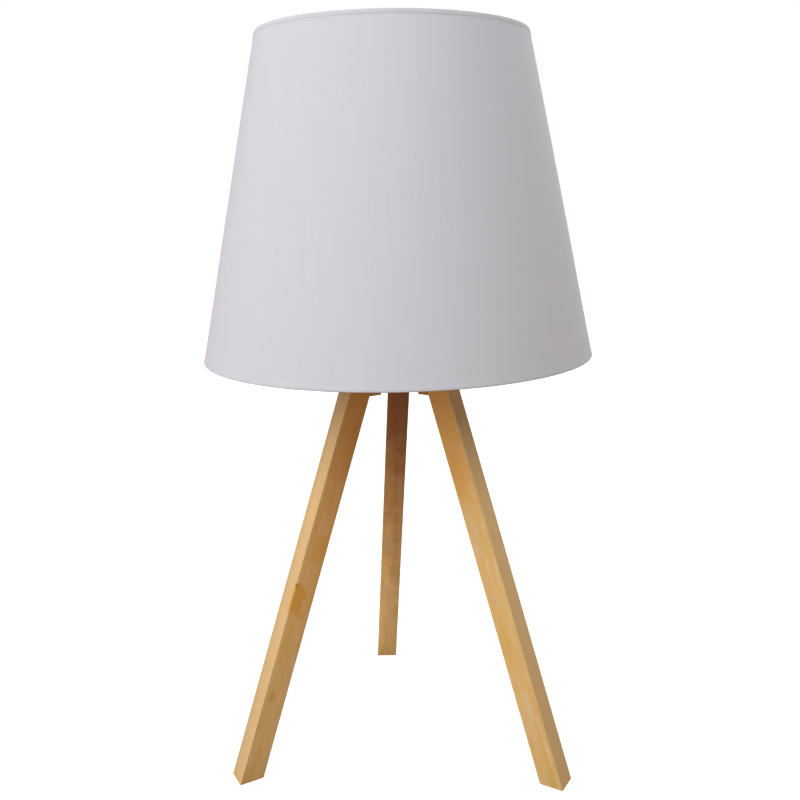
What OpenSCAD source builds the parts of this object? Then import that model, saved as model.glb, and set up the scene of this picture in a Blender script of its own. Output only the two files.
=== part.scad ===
// Tripod table lamp: three splayed square legs bolted to a three-armed wooden hub, which
// carries a screw-fit lampholder, a candle bulb and a tapered drum shade of lined fabric.
// The floor is z = 0 and the lamp's axis is the Z axis. One leg points to +Y.

/* [Tripod] */
// Height of the hub's top and of the legs' cut tops above the floor
stand_h = 287; // [275:1:300]
// From the axis to the inner face of a leg at the floor
foot_r = 106; // [95:1:120]
// From the axis to the inner face of a leg at the hub's top
seat_r = 12; // [11.5:0.5:15]
// Side of a leg's square section
leg_w = 15; // [13:0.5:18]
// Bevel along the edges of the legs
leg_bevel = 0.5; // [0.2:0.1:1]
// Turn of the rear leg about its bolt, in degrees
rear_turn_angle = 3.8; // [-5:0.1:5]
// Turn of the front left leg about its bolt, in degrees
left_turn_angle = -1.8; // [-5:0.1:5]
// Turn of the front right leg about its bolt, in degrees
right_turn_angle = -1.1; // [-5:0.1:5]

/* [Hub] */
// Height of the hub
hub_h = 42; // [38:1:50]
// Radius of the hollow flanks between the hub's arms
flank_r = 12; // [9:0.5:16]
// Depth of the recess turned into the hub's underside for the nut
recess_d = 6; // [5.5:0.5:8]
// Radius of that recess, which leaves a toe at the end of each arm
recess_r = 19.5; // [12:0.5:21]

/* [Leg bolts] */
// Radius of a leg bolt's shank
bolt_r = 3; // [2.5:0.5:3.5]
// From a leg's cut top down to its bolt, along the leg
bolt_drop = 22; // [20:1:25]
// How far a bolt reaches into the hub
bolt_reach = 9; // [7:0.5:10]
// Radius of a bolt's head
bolt_head_r = 5; // [4.5:0.5:6]
// Height of a bolt's head
bolt_head_h = 4; // [3:0.5:5]
// Width across the flats of the hexagon socket in a bolt's head
bolt_key_w = 4; // [3:0.5:5]
// Radius of the washer under a bolt's head
bolt_washer_r = 6.5; // [6:0.5:7]
// Thickness of the washer under a bolt's head
bolt_washer_t = 1.2; // [0.8:0.1:1.6]
// Wall of the threaded insert that a bolt runs in
insert_wall = 1.5; // [1.2:0.1:1.8]
// Length of the threaded insert
insert_len = 10; // [9:0.5:11]
// Width of the collar round the insert's mouth
insert_collar_w = 1.2; // [0.8:0.1:1.4]
// Thickness of that collar
insert_collar_t = 1; // [0.8:0.1:1.2]

/* [Threaded tube] */
// Outer radius of the threaded tube through the hub
tube_r = 5; // [4:0.5:5.5]
// Wall of the threaded tube
tube_wall = 1; // [0.8:0.1:1.5]
// Width across the flats of the tube's nuts
nut_w = 14; // [13:0.5:15]
// Thickness of the tube's nuts
nut_t = 3; // [2.5:0.5:4]
// Radius of the tube's washers
tube_washer_r = 8; // [7.5:0.1:8.2]
// Thickness of the tube's washers
tube_washer_t = 1; // [0.8:0.1:1.5]
// How far the tube screws into the lampholder's cap
tube_grip = 9; // [6:0.5:9.5]
// Radius of the bush's flange at the cord's outlet
bush_flange_r = 6.5; // [5.5:0.5:7]
// Thickness of the bush's flange
bush_flange_t = 1.5; // [1:0.1:1.6]
// Length of the bush's sleeve inside the tube
bush_sleeve = 8; // [5:1:12]
// Radius of the cord's hole through the bush
bush_bore_r = 3; // [2.5:0.1:3.2]

/* [Lampholder] */
// Height of the lampholder's cap, up to the joint with its skirt
cap_h = 26; // [24:1:32]
// Radius of the boss at the foot of the cap
cap_boss_r = 9; // [8:0.5:11]
// Height of that boss
cap_boss_h = 8; // [6:1:10]
// Height of the cap's floor, where its threaded hole ends
cap_floor_h = 10; // [10:0.5:12]
// Outer radius of the cap at its top
cap_r = 19; // [18.5:0.1:19.4]
// Height of the straight band round the cap's top
cap_band_h = 6; // [3:0.5:9]
// Inner radius of the ledge that carries the contact block
ledge_r = 15; // [14:0.5:15.5]
// Width of that ledge
ledge_w = 0.8; // [0.6:0.1:1]
// Thickness of that ledge
ledge_t = 1; // [0.6:0.1:1.5]
// Width of the shoulder inside the cap, round the tube's hole
shoulder_w = 1; // [0.5:0.1:1.5]
// Number of grip flutes round the cap's band
cap_flutes = 16; // [12:1:24]
// Radius of a grip flute
flute_r = 1.2; // [0.8:0.1:1.6]
// Radius of the screw that locks the cap on the tube
lock_r = 1.5; // [1.2:0.1:2]
// Width across the flats of that screw's hexagon socket
lock_key_w = 1.5; // [1.2:0.1:1.5]
// Azimuth of that screw, in degrees, between two legs
lock_angle = 30; // [20:1:40]
// Height of the spigot that goes up into the skirt
spigot_h = 5; // [4:0.5:7]
// Radius of the skirt's outside, which the shade's ring screws onto
skirt_r = 19.5; // [19.5:0.1:20]
// Wall of the skirt
skirt_wall = 2.1; // [1.8:0.1:2.3]
// Height of the skirt
skirt_h = 32; // [30:1:36]
// Radius of the skirt's flange, which carries the shade
flange_r = 26; // [24:0.5:30]
// Thickness of the skirt's flange
flange_t = 3; // [2.5:0.5:4]
// Width of the lip that the skirt's mouth turns in
lip_w = 2.6; // [2:0.1:2.8]
// Thickness of that lip
lip_t = 2.5; // [2:0.5:3.5]
// Height of the contact block
block_h = 8; // [7:0.5:9]
// How far the contact block's top lies below the spigot's
block_inset = 1; // [0.5:0.1:1.5]
// Inner radius of the screw shell that takes the bulb
shell_r = 13.5; // [13.4:0.1:13.7]
// Thickness of the screw shell's sheet
shell_t = 0.5; // [0.4:0.1:0.6]
// Height of the screw shell
shell_h = 24; // [20:1:26]
// Height of the centre contact's spring above the contact block
contact_h = 4.5; // [4:0.5:6]
// Width of the contact springs
contact_w = 6; // [4:0.5:7]
// Thickness of the contact springs
contact_t = 0.5; // [0.4:0.1:0.8]
// From the axis to the terminal screws
terminal_x = 9; // [8.5:0.5:10]
// Radius of a terminal screw
terminal_r = 1.5; // [1.2:0.1:1.8]
// Radius of a terminal screw's head
terminal_head_r = 2.8; // [2.4:0.1:3.2]

/* [Shade] */
// Diameter of the shade over its bottom binding
shade_bottom_d = 250; // [220:1:280]
// Diameter of the shade over its top binding
shade_top_d = 170; // [150:1:200]
// Height of the shade
shade_h = 200; // [170:1:230]
// Height of the fitter's ring above the shade's bottom
fitter_drop = 50; // [40:1:60]
// Thickness of the fabric
fabric_t = 0.5; // [0.3:0.1:1]
// Thickness of the liner that the fabric is stuck to
liner_t = 0.5; // [0.3:0.1:1]
// Thickness of the binding round both rims
binding_t = 0.4; // [0.3:0.1:0.6]
// Width of the binding that shows outside
binding_w = 3; // [2:0.5:5]
// How far the binding runs past the wire, inside the shade
binding_tuck = 6; // [4:1:10]
// Radius of the frame's wire
wire_r = 1.5; // [1.2:0.1:2]
// Radius of the hole in the fitter's ring
fitter_hole_r = 20.6; // [20.5:0.1:21.2]
// Outer radius of the fitter's ring
fitter_r = 27; // [26.5:0.5:30]
// Thickness of the fitter's ring
fitter_t = 1.5; // [1:0.1:2]
// Height of the ring that clamps the shade
clamp_h = 8; // [6:1:12]
// Outer radius of that ring's grip
clamp_r = 23.5; // [22.5:0.5:25]
// Outer radius of that ring's flange
clamp_flange_r = 26; // [25.5:0.5:28]
// Thickness of that ring's flange
clamp_flange_t = 2; // [1.5:0.5:3]
// Number of finger grooves round that ring
clamp_grooves = 12; // [8:1:16]
// Radius of a finger groove
groove_r = 1.6; // [1:0.1:2]

/* [Bulb] */
// Radius of the bulb's screw cap
bulb_cap_r = 13.1; // [12.9:0.1:13.1]
// Length of the screw cap's shell
bulb_cap_h = 21.5; // [20:0.5:24]
// Height of the centre tip
tip_h = 1.5; // [1:0.1:2]
// Radius of the centre tip
tip_r = 4.5; // [4:0.1:5]
// Height of the insulator between tip and shell
insulator_h = 3.5; // [3:0.5:4]
// Height of the bulb's housing
housing_h = 20; // [15:1:26]
// Largest radius of the bulb
bulb_r = 17.5; // [16:0.1:18]
// Height of the bulb's envelope
envelope_h = 54; // [45:1:62]
// Wall of the bulb's envelope and housing
bulb_wall = 1.2; // [0.8:0.1:1.8]
// Thickness of the board with the light sources
board_t = 1.5; // [1:0.1:2]

/* [Clearances] */
// Between parts that are screwed or slid together
fit_gap = 0.05; // [0.02:0.01:0.1]
// Between parts of the stand, the shade and the bulb that rest on each other
seat_gap = 0.3; // [0.2:0.05:0.4]
// Round a bolt in its hole in the leg
bolt_gap = 0.3; // [0.2:0.1:0.5]

/* [Hidden] */
$fn = 96;
LEG_AZIMUTHS = [90, 210, 330];
splay = atan((foot_r - seat_r) / stand_h);
slab_r = foot_r + 3 * leg_w;
leg_reach = stand_h / cos(splay) + leg_w;

hub_z = stand_h - hub_h;
flank_steps = 10;
flank_c = (leg_w / 2 + flank_r) / sin(60);
arm_r = seat_r + hub_h * tan(splay) + leg_w;
tube_hole_r = tube_r + fit_gap;

insert_r = bolt_r + fit_gap + insert_wall;
insert_collar_r = insert_r + insert_collar_w;
bolt_hole_r = bolt_r + bolt_gap;

nut_r = nut_w / 2 / cos(30);
recess_top = hub_z + recess_d;
low_nut_z = recess_top - tube_washer_t - nut_t;
bore_r = tube_r - tube_wall;

cap_z = stand_h + tube_washer_t + nut_t;
tube_top = cap_z + tube_grip;
cap_top = cap_z + cap_h;
seat_z = cap_top + flange_t;
skirt_top = cap_top + skirt_h;
skirt_bore_r = skirt_r - skirt_wall;
spigot_r = skirt_bore_r - fit_gap;
lip_r = skirt_bore_r - lip_w;
block_r = ledge_r + ledge_w;
ledge_z = cap_top + spigot_h - block_inset - block_h;
block_z = ledge_z;
block_top = block_z + block_h;
dome_steps = 12;
lock_z = cap_z + cap_boss_h / 2;
shell_z = block_top;
shell_top = shell_z + shell_h;

hem_z = seat_z - fitter_drop;
rim_z = hem_z + shade_h;
taper = (shade_bottom_d - shade_top_d) / 2 / shade_h;
lean = atan(taper);
fitter_z = seat_z + seat_gap;
clamp_z = fitter_z + fitter_t + seat_gap;
clamp_hole_r = skirt_r + fit_gap;
wire_seat = wire_r + fit_gap;
wire_low_z = hem_z + binding_t + wire_seat;
wire_high_z = rim_z - binding_t - wire_seat;
wrap_steps = 8;

tip_z = block_top + contact_h + seat_gap;
insulator_z = tip_z + tip_h;
bulb_cap_z = insulator_z + insulator_h;
housing_z = bulb_cap_z + bulb_cap_h;
envelope_z = housing_z + housing_h;
envelope_steps = 24;
cut = 1;

// A point at a distance and an azimuth from the axis
function polar(r, a) = [r * cos(a), r * sin(a)];

// Radius of the shade's outer fabric face at a height
function fabric_r(z) = shade_bottom_d / 2 - binding_t / cos(lean) - (z - hem_z) * taper;

// Radius of the shade's inner liner face at a height
function liner_r(z) = fabric_r(z) - (fabric_t + liner_t) / cos(lean);

// Centre radius of a frame wire that lies against the liner at a height
function wire_ring_r(z) = liner_r(z) - wire_seat / cos(lean);

// Moves to a leg's frame: X points out of the hub across the leg and Z points up along it
module at_leg(azimuth) {
  rotate([0, 0, azimuth])
    translate([seat_r, 0, stand_h])
      rotate([0, -splay, 0])
        children();
}

// Moves to a leg bolt's axis, with Z pointing out of the hub and 0 at the leg's inner face
module at_bolt(azimuth) {
  at_leg(azimuth)
    translate([0, 0, -bolt_drop])
      rotate([0, 90, 0])
        children();
}

// A straight tube or disc with a round hole
module ring(outer_r, inner_r, height) {
  difference() {
    cylinder(r = outer_r, h = height);
    translate([0, 0, -cut])
      cylinder(r = inner_r, h = height + 2 * cut);
  }
}

// A hexagonal nut
module nut() {
  difference() {
    cylinder(r = nut_r, h = nut_t, $fn = 6);
    translate([0, 0, -cut])
      cylinder(r = tube_hole_r, h = nut_t + 2 * cut);
  }
}

// A round wire bent to a ring
module wire_ring(z, r) {
  translate([0, 0, z])
    rotate_extrude()
      translate([wire_ring_r(z), 0])
        circle(r = r, $fn = 48);
}

// A leg's square section with bevelled edges, its inner face at x = 0
module leg_section() {
  half = leg_w / 2;
  polygon([
    [leg_bevel, -half], [leg_w - leg_bevel, -half], [leg_w, -half + leg_bevel],
    [leg_w, half - leg_bevel], [leg_w - leg_bevel, half], [leg_bevel, half],
    [0, half - leg_bevel], [0, -half + leg_bevel]
  ]);
}

// A splayed leg with its bolt hole, cut level at the floor and at the hub's top. The turn about
// the bolt swings the foot sideways and keeps the leg flat on its seat.
module leg(azimuth, turn) {
  color("burlywood")
    difference() {
      intersection() {
        at_bolt(azimuth)
          rotate([0, -90, turn])
            translate([0, 0, bolt_drop - leg_reach])
              linear_extrude(leg_reach + leg_w)
                leg_section();
        translate([-slab_r, -slab_r, 0])
          cube([2 * slab_r, 2 * slab_r, stand_h]);
      }
      at_bolt(azimuth)
        translate([0, 0, -cut])
          cylinder(r = bolt_hole_r, h = leg_w + 2 * cut);
    }
}

module leg_rear() {
  leg(LEG_AZIMUTHS[0], rear_turn_angle);
}

module leg_front_left() {
  leg(LEG_AZIMUTHS[1], left_turn_angle);
}

module leg_front_right() {
  leg(LEG_AZIMUTHS[2], right_turn_angle);
}

// One arm's end and the hollow flank that follows it, counter-clockwise
function arm_outline(azimuth) = concat(
  [
    polar(arm_r, azimuth) - polar(leg_w / 2, azimuth + 90),
    polar(arm_r, azimuth) + polar(leg_w / 2, azimuth + 90)
  ],
  [
    for (i = [0:flank_steps])
      polar(flank_c, azimuth + 60) + polar(flank_r, azimuth + 270 - i * 60 / flank_steps)
  ]
);

// The three-armed hub: slanted seats for the legs, a hole for the tube and a turned recess
module hub_block() {
  color("burlywood")
    difference() {
      translate([0, 0, hub_z])
        linear_extrude(hub_h)
          polygon([for (a = LEG_AZIMUTHS) each arm_outline(a)]);
      for (a = LEG_AZIMUTHS) {
        at_leg(a)
          translate([0, -leg_w, -2 * hub_h])
            cube([3 * leg_w, 2 * leg_w, 3 * hub_h]);
        at_bolt(a)
          translate([0, 0, -insert_len - fit_gap])
            cylinder(r = insert_r + fit_gap, h = insert_len + cut);
        at_bolt(a)
          translate([0, 0, -insert_collar_t - fit_gap])
            cylinder(r = insert_collar_r + fit_gap, h = insert_collar_t + cut);
      }
      translate([0, 0, hub_z - cut])
        cylinder(r = tube_hole_r, h = hub_h + 2 * cut);
      translate([0, 0, hub_z - cut])
        cylinder(r = recess_r, h = recess_d + cut);
    }
}

// Threaded inserts let into the hub's seats, each with a collar at its mouth
module insert_nuts() {
  color("goldenrod")
    for (a = LEG_AZIMUTHS)
      at_bolt(a)
        difference() {
          union() {
            translate([0, 0, -insert_len])
              cylinder(r = insert_r, h = insert_len);
            translate([0, 0, -insert_collar_t])
              cylinder(r = insert_collar_r, h = insert_collar_t);
          }
          translate([0, 0, -insert_len - cut])
            cylinder(r = bolt_r + fit_gap, h = insert_len + 2 * cut);
        }
}

// One bolt per leg, from the leg's outer face into the hub
module leg_bolts() {
  color("silver")
    for (a = LEG_AZIMUTHS)
      at_bolt(a) {
        translate([0, 0, -bolt_reach])
          cylinder(r = bolt_r, h = bolt_reach + leg_w + bolt_washer_t);
        translate([0, 0, leg_w + bolt_washer_t])
          difference() {
            cylinder(r = bolt_head_r, h = bolt_head_h);
            translate([0, 0, bolt_head_h / 2])
              cylinder(r = bolt_key_w / 2 / cos(30), h = bolt_head_h, $fn = 6);
          }
      }
}

module leg_bolt_washers() {
  color("silver")
    for (a = LEG_AZIMUTHS)
      at_bolt(a)
        translate([0, 0, leg_w])
          ring(bolt_washer_r, bolt_r + fit_gap, bolt_washer_t);
}

// The hollow threaded tube that joins the hub and the lampholder and takes the cord
module threaded_tube() {
  color("gold")
    translate([0, 0, low_nut_z])
      ring(tube_r, bore_r, tube_top - low_nut_z);
}

module tube_nuts() {
  color("gold") {
    translate([0, 0, low_nut_z])
      nut();
    translate([0, 0, stand_h + tube_washer_t])
      nut();
  }
}

module tube_washers() {
  color("gold") {
    translate([0, 0, recess_top - tube_washer_t])
      ring(tube_washer_r, tube_hole_r, tube_washer_t);
    translate([0, 0, stand_h])
      ring(tube_washer_r, tube_hole_r, tube_washer_t);
  }
}

// The bush that keeps the cord off the tube's edge
module cord_outlet_bush() {
  color("dimgray")
    translate([0, 0, low_nut_z])
      difference() {
        union() {
          translate([0, 0, -bush_flange_t])
            cylinder(r = bush_flange_r, h = bush_flange_t);
          cylinder(r = bore_r - fit_gap, h = bush_sleeve);
        }
        translate([0, 0, -bush_flange_t - cut])
          cylinder(r = bush_bore_r, h = bush_sleeve + bush_flange_t + 2 * cut);
      }
}

// A quarter of an ellipse that rises from (r0, z0) to (r1, z1)
function dome(r0, z0, r1, z1) = [
  for (i = [0:dome_steps])
    let (t = i * 90 / dome_steps)
      [r0 + (r1 - r0) * sin(t), z1 - (z1 - z0) * cos(t)]
];

// Moves to the lock screw's axis, with Z pointing out of the cap's boss and 0 at the tube
module at_lock() {
  rotate([0, 0, lock_angle])
    translate([tube_hole_r, 0, lock_z])
      rotate([0, 90, 0])
        children();
}

// The lampholder's domed cap with its threaded boss, ledge and spigot, fluted for the hand
module lampholder_cap() {
  inner = dome(tube_hole_r + shoulder_w, cap_z + cap_floor_h, ledge_r, ledge_z - ledge_t);
  color("whitesmoke")
    difference() {
      rotate_extrude()
        polygon(concat(
          [[tube_hole_r, cap_z], [cap_boss_r, cap_z]],
          dome(cap_boss_r, cap_z + cap_boss_h, cap_r, cap_top - cap_band_h),
          [
            [cap_r, cap_top], [spigot_r, cap_top], [spigot_r, cap_top + spigot_h],
            [block_r + fit_gap, cap_top + spigot_h], [block_r + fit_gap, ledge_z],
            [ledge_r, ledge_z]
          ],
          [for (i = [dome_steps:-1:0]) inner[i]],
          [[tube_hole_r, cap_z + cap_floor_h]]
        ));
      for (i = [0:cap_flutes - 1])
        rotate([0, 0, i * 360 / cap_flutes])
          translate([cap_r + flute_r / 2, 0, cap_top - cap_band_h - flute_r])
            cylinder(r = flute_r, h = cap_band_h);
      at_lock()
        translate([0, 0, -cut])
          cylinder(r = lock_r + fit_gap, h = cap_boss_r - tube_hole_r + 2 * cut);
    }
}

// The headless screw that locks the cap on the tube
module cap_lock_screw() {
  reach = cap_boss_r * cos(asin(lock_r / cap_boss_r)) - tube_hole_r;
  color("silver")
    at_lock()
      difference() {
        cylinder(r = lock_r, h = reach);
        translate([0, 0, reach / 2])
          cylinder(r = lock_key_w / 2 / cos(30), h = reach, $fn = 6);
      }
}

// The lampholder's skirt with the flange that carries the shade and a turned-in lip
module lampholder_skirt() {
  color("whitesmoke")
    rotate_extrude()
      polygon([
        [skirt_bore_r, cap_top], [flange_r, cap_top], [flange_r, seat_z], [skirt_r, seat_z],
        [skirt_r, skirt_top], [lip_r, skirt_top], [lip_r, skirt_top - lip_t],
        [skirt_bore_r, skirt_top - lip_t]
      ]);
}

// The insulating block that carries the contacts
module contact_block() {
  color("white")
    difference() {
      translate([0, 0, block_z])
        cylinder(r = block_r, h = block_h);
      for (side = [-1, 1])
        translate([side * terminal_x, 0, block_z - cut])
          cylinder(r = terminal_r + fit_gap, h = block_h + 2 * cut);
    }
}

// A bent strip, drawn as its side view and centred across its width
module spring_strip(points) {
  rotate([90, 0, 0])
    translate([0, 0, -contact_w / 2])
      linear_extrude(contact_w)
        polygon(points);
}

// The spring under the bulb's tip: a foot on the block and a tongue that rises to the axis
module centre_contact() {
  top = block_top + contact_h;
  foot = block_top + contact_t;
  color("goldenrod")
    spring_strip([
      [-terminal_x + terminal_r, block_top], [tip_r, block_top], [tip_r + contact_t, foot],
      [tip_r, top - contact_t], [-tip_r / 2, top], [-tip_r / 2, top - contact_t],
      [tip_r - contact_t, top - 2 * contact_t], [tip_r - contact_t, foot],
      [-terminal_x + terminal_r, foot]
    ]);
}

// The strip that joins the second terminal to the screw shell
module side_contact() {
  start = terminal_x + terminal_r + fit_gap;
  face = sqrt(pow(shell_r - fit_gap, 2) - pow(contact_w / 2, 2));
  top = block_top + contact_h;
  color("goldenrod")
    spring_strip([
      [start, block_top], [face, block_top], [face, top], [face - contact_t, top],
      [face - contact_t, block_top + contact_t], [start, block_top + contact_t]
    ]);
}

// The two terminal screws, their slotted heads under the block
module terminal_screws() {
  color("silver")
    for (side = [-1, 1])
      translate([side * terminal_x, 0, block_z]) {
        cylinder(r = terminal_r, h = block_h);
        translate([0, 0, -terminal_r])
          difference() {
            cylinder(r = terminal_head_r, h = terminal_r);
            translate([-terminal_head_r, -terminal_r / 4, -cut])
              cube([2 * terminal_head_r, terminal_r / 2, cut + terminal_r / 2]);
          }
      }
}

// The shell that the bulb screws into, with its rim turned out
module screw_shell() {
  outer = shell_r + shell_t;
  color("goldenrod")
    rotate_extrude()
      polygon([
        [shell_r, shell_z], [outer, shell_z], [outer, shell_top - shell_t],
        [skirt_bore_r - seat_gap, shell_top - shell_t], [skirt_bore_r - seat_gap, shell_top],
        [shell_r, shell_top]
      ]);
}

// The threaded ring that clamps the shade to the lampholder's flange
module shade_ring() {
  color("whitesmoke")
    translate([0, 0, clamp_z])
      difference() {
        union() {
          cylinder(r = clamp_flange_r, h = clamp_flange_t);
          cylinder(r = clamp_r, h = clamp_h);
        }
        translate([0, 0, -cut])
          cylinder(r = clamp_hole_r, h = clamp_h + 2 * cut);
        for (i = [0:clamp_grooves - 1])
          rotate([0, 0, i * 360 / clamp_grooves])
            translate([clamp_r + groove_r / 4, 0, clamp_flange_t])
              cylinder(r = groove_r, h = clamp_h);
      }
}

// The pressed ring at the middle of the shade's fitter
module fitter_ring() {
  color("white")
    translate([0, 0, fitter_z])
      ring(fitter_r, fitter_hole_r, fitter_t);
}

// The fitter's three wires as full-length rods of a given radius
module arm_rods(r) {
  high_z = fitter_z + fitter_t / 2;
  run = wire_ring_r(wire_low_z) - fitter_r;
  fall = high_z - wire_low_z;
  for (a = LEG_AZIMUTHS)
    rotate([0, 0, a])
      translate([fitter_r, 0, high_z])
        rotate([0, 90 + atan(fall / run), 0])
          translate([0, 0, -wire_r])
            cylinder(r = r, h = sqrt(run * run + fall * fall) + wire_r);
}

// The three wires that hang the bottom wire ring from the fitter's ring
module fitter_arms() {
  color("white")
    difference() {
      arm_rods(wire_r);
      translate([0, 0, fitter_z - 2 * wire_r])
        cylinder(r = fitter_r + fit_gap, h = 4 * wire_r);
      wire_ring(wire_low_z, wire_seat);
    }
}

module bottom_wire_ring() {
  color("white")
    wire_ring(wire_low_z, wire_r);
}

module top_wire_ring() {
  color("white")
    wire_ring(wire_high_z, wire_r);
}

// One layer of the shade's tapered wall, lying a depth in from the fabric's face
module shade_layer(depth, thickness) {
  low = hem_z + binding_t;
  high = rim_z - binding_t;
  rotate_extrude($fn = 180)
    polygon([
      [fabric_r(low) - (depth + thickness) / cos(lean), low],
      [fabric_r(low) - depth / cos(lean), low],
      [fabric_r(high) - depth / cos(lean), high],
      [fabric_r(high) - (depth + thickness) / cos(lean), high]
    ]);
}

module shade_liner() {
  color("white")
    shade_layer(fabric_t, liner_t);
}

module shade_fabric() {
  color("gainsboro")
    shade_layer(0, fabric_t);
}

// Turn round a wire of radius r, from its rim side to where a strip leaves it for a point p
function wrap_turn(r, p) = 270 - atan2(p[1], p[0]) - acos(r / norm(p));

// Points round a wire's centre at a turn t from its rim side; side is 1 below and -1 above
function wrap_point(centre, r, side, t) = centre + r * [-sin(t), -side * cos(t)];

// Section of a binding that folds round a rim and its wire; side is 1 below and -1 above
function binding_outline(z0, side) =
  let (
    wire_z = z0 + side * (binding_t + wire_seat),
    centre = [wire_ring_r(wire_z), wire_z],
    edge_z = z0 + side * binding_w,
    outer_z = wire_z + side * binding_tuck,
    inner_z = outer_z - side * 2 * binding_t,
    outer_r = wire_seat + binding_t,
    outer_end = [liner_r(outer_z), outer_z],
    inner_end = [liner_r(inner_z), inner_z],
    outer_off = outer_end - centre,
    inner_off = inner_end - centre,
    outer_turn = wrap_turn(outer_r, [outer_off[0], side * outer_off[1]]),
    inner_turn = wrap_turn(wire_seat, [inner_off[0], side * inner_off[1]])
  )
  concat(
    [
      [fabric_r(edge_z), edge_z],
      [fabric_r(edge_z) + binding_t / cos(lean), edge_z],
      [fabric_r(z0) + binding_t / cos(lean), z0]
    ],
    [for (i = [0:wrap_steps]) wrap_point(centre, outer_r, side, outer_turn * i / wrap_steps)],
    [outer_end, inner_end],
    [for (i = [wrap_steps:-1:0]) wrap_point(centre, wire_seat, side, inner_turn * i / wrap_steps)],
    [[fabric_r(z0 + side * binding_t), z0 + side * binding_t]]
  );

// The lower binding, slit where the fitter's arms pass through it
module bottom_binding() {
  color("gainsboro")
    difference() {
      rotate_extrude($fn = 180)
        polygon(binding_outline(hem_z, 1));
      arm_rods(wire_seat);
    }
}

module top_binding() {
  color("gainsboro")
    rotate_extrude($fn = 180)
      polygon(binding_outline(rim_z, -1));
}

module bulb_tip() {
  color("silver")
    translate([0, 0, tip_z])
      cylinder(r1 = tip_r - tip_h / 2, r2 = tip_r, h = tip_h);
}

module bulb_insulator() {
  color("black")
    translate([0, 0, insulator_z])
      cylinder(r1 = tip_r, r2 = bulb_cap_r - insulator_h / 2, h = insulator_h);
}

// The screw cap's thin shell, drawn in at its foot
module bulb_cap() {
  foot_r = bulb_cap_r - insulator_h / 2;
  color("silver")
    translate([0, 0, bulb_cap_z])
      rotate_extrude()
        polygon([
          [foot_r - bulb_wall, 0], [foot_r, 0], [bulb_cap_r, insulator_h / 2],
          [bulb_cap_r, bulb_cap_h], [bulb_cap_r - bulb_wall, bulb_cap_h],
          [bulb_cap_r - bulb_wall, insulator_h / 2]
        ]);
}

// The housing that widens from the screw cap to the envelope
module bulb_housing() {
  outer = dome(bulb_cap_r, 0, bulb_r, housing_h);
  color("white")
    translate([0, 0, housing_z])
      rotate_extrude()
        polygon(concat(
          outer,
          [for (i = [dome_steps:-1:0]) outer[i] - [bulb_wall, 0]]
        ));
}

module bulb_board() {
  color("white")
    translate([0, 0, envelope_z - board_t])
      cylinder(r = bulb_r - bulb_wall - seat_gap, h = board_t);
}

// Radius of the candle-shaped envelope at a share of its height
function candle_r(u, r) = r * pow(1 - pow(u, 2.2), 0.75);

// The frosted candle-shaped envelope
module bulb_envelope() {
  inner_r = bulb_r - bulb_wall;
  inner_h = envelope_h - bulb_wall;
  color("ivory")
    translate([0, 0, envelope_z])
      rotate_extrude()
        polygon(concat(
          [
            for (i = [0:envelope_steps])
              let (u = sin(i * 90 / envelope_steps))
                [candle_r(u, bulb_r), u * envelope_h]
          ],
          [
            for (i = [envelope_steps:-1:0])
              let (u = sin(i * 90 / envelope_steps))
                [candle_r(u, inner_r), u * inner_h]
          ]
        ));
}

leg_rear();
leg_front_left();
leg_front_right();
hub_block();
insert_nuts();
leg_bolts();
leg_bolt_washers();
threaded_tube();
tube_nuts();
tube_washers();
cord_outlet_bush();
lampholder_cap();
cap_lock_screw();
lampholder_skirt();
contact_block();
centre_contact();
side_contact();
terminal_screws();
screw_shell();
shade_ring();
fitter_ring();
fitter_arms();
bottom_wire_ring();
top_wire_ring();
shade_liner();
shade_fabric();
bottom_binding();
top_binding();
bulb_tip();
bulb_insulator();
bulb_cap();
bulb_housing();
bulb_board();
bulb_envelope();
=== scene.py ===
"""Finishes and modelled details of a tripod table lamp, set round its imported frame.

Lengths are in metres in the frame's own axes: the floor is z = 0, the lamp's axis is the
Z axis and one leg points to +Y. Patterns are worked out in millimetres.
"""

import logging
import math
from collections.abc import Callable, Iterator, Sequence
from contextlib import contextmanager
from dataclasses import dataclass, field, replace
from enum import Enum

import bmesh
import bpy
from mathutils import Matrix, Vector
from mathutils.kdtree import KDTree


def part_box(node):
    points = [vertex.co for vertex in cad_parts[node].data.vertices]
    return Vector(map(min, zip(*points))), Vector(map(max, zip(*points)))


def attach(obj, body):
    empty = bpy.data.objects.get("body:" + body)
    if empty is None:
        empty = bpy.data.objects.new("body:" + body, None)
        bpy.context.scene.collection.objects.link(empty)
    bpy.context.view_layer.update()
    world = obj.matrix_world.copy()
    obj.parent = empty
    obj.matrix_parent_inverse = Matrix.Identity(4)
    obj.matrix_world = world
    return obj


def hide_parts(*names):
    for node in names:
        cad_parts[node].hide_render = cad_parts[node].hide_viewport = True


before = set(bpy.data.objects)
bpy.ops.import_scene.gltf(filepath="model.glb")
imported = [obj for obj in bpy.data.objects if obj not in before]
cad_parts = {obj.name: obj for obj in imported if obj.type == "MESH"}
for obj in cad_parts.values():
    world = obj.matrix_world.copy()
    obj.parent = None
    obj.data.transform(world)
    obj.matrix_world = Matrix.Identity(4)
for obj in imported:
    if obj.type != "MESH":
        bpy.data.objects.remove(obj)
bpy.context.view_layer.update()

LOG = logging.getLogger("tripod_lamp")
MM = 0.001
TURN = 2 * math.pi
MERGE = 0.005 * MM
CLOTH_MAP = "cloth"

# In degrees: edges sharper than the first are rounded, and faces flatter than the second join.
CREASE = 35.0
FLAT = 0.4

Piece = bpy.types.Object
Socket = bpy.types.NodeSocket
Value = Socket | float | int | tuple
Point = tuple[float, float]
Outline = list[Point]
Triple = tuple[float, float, float]


# ---------------------------------------------------------------------------------------
# Modelling


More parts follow.
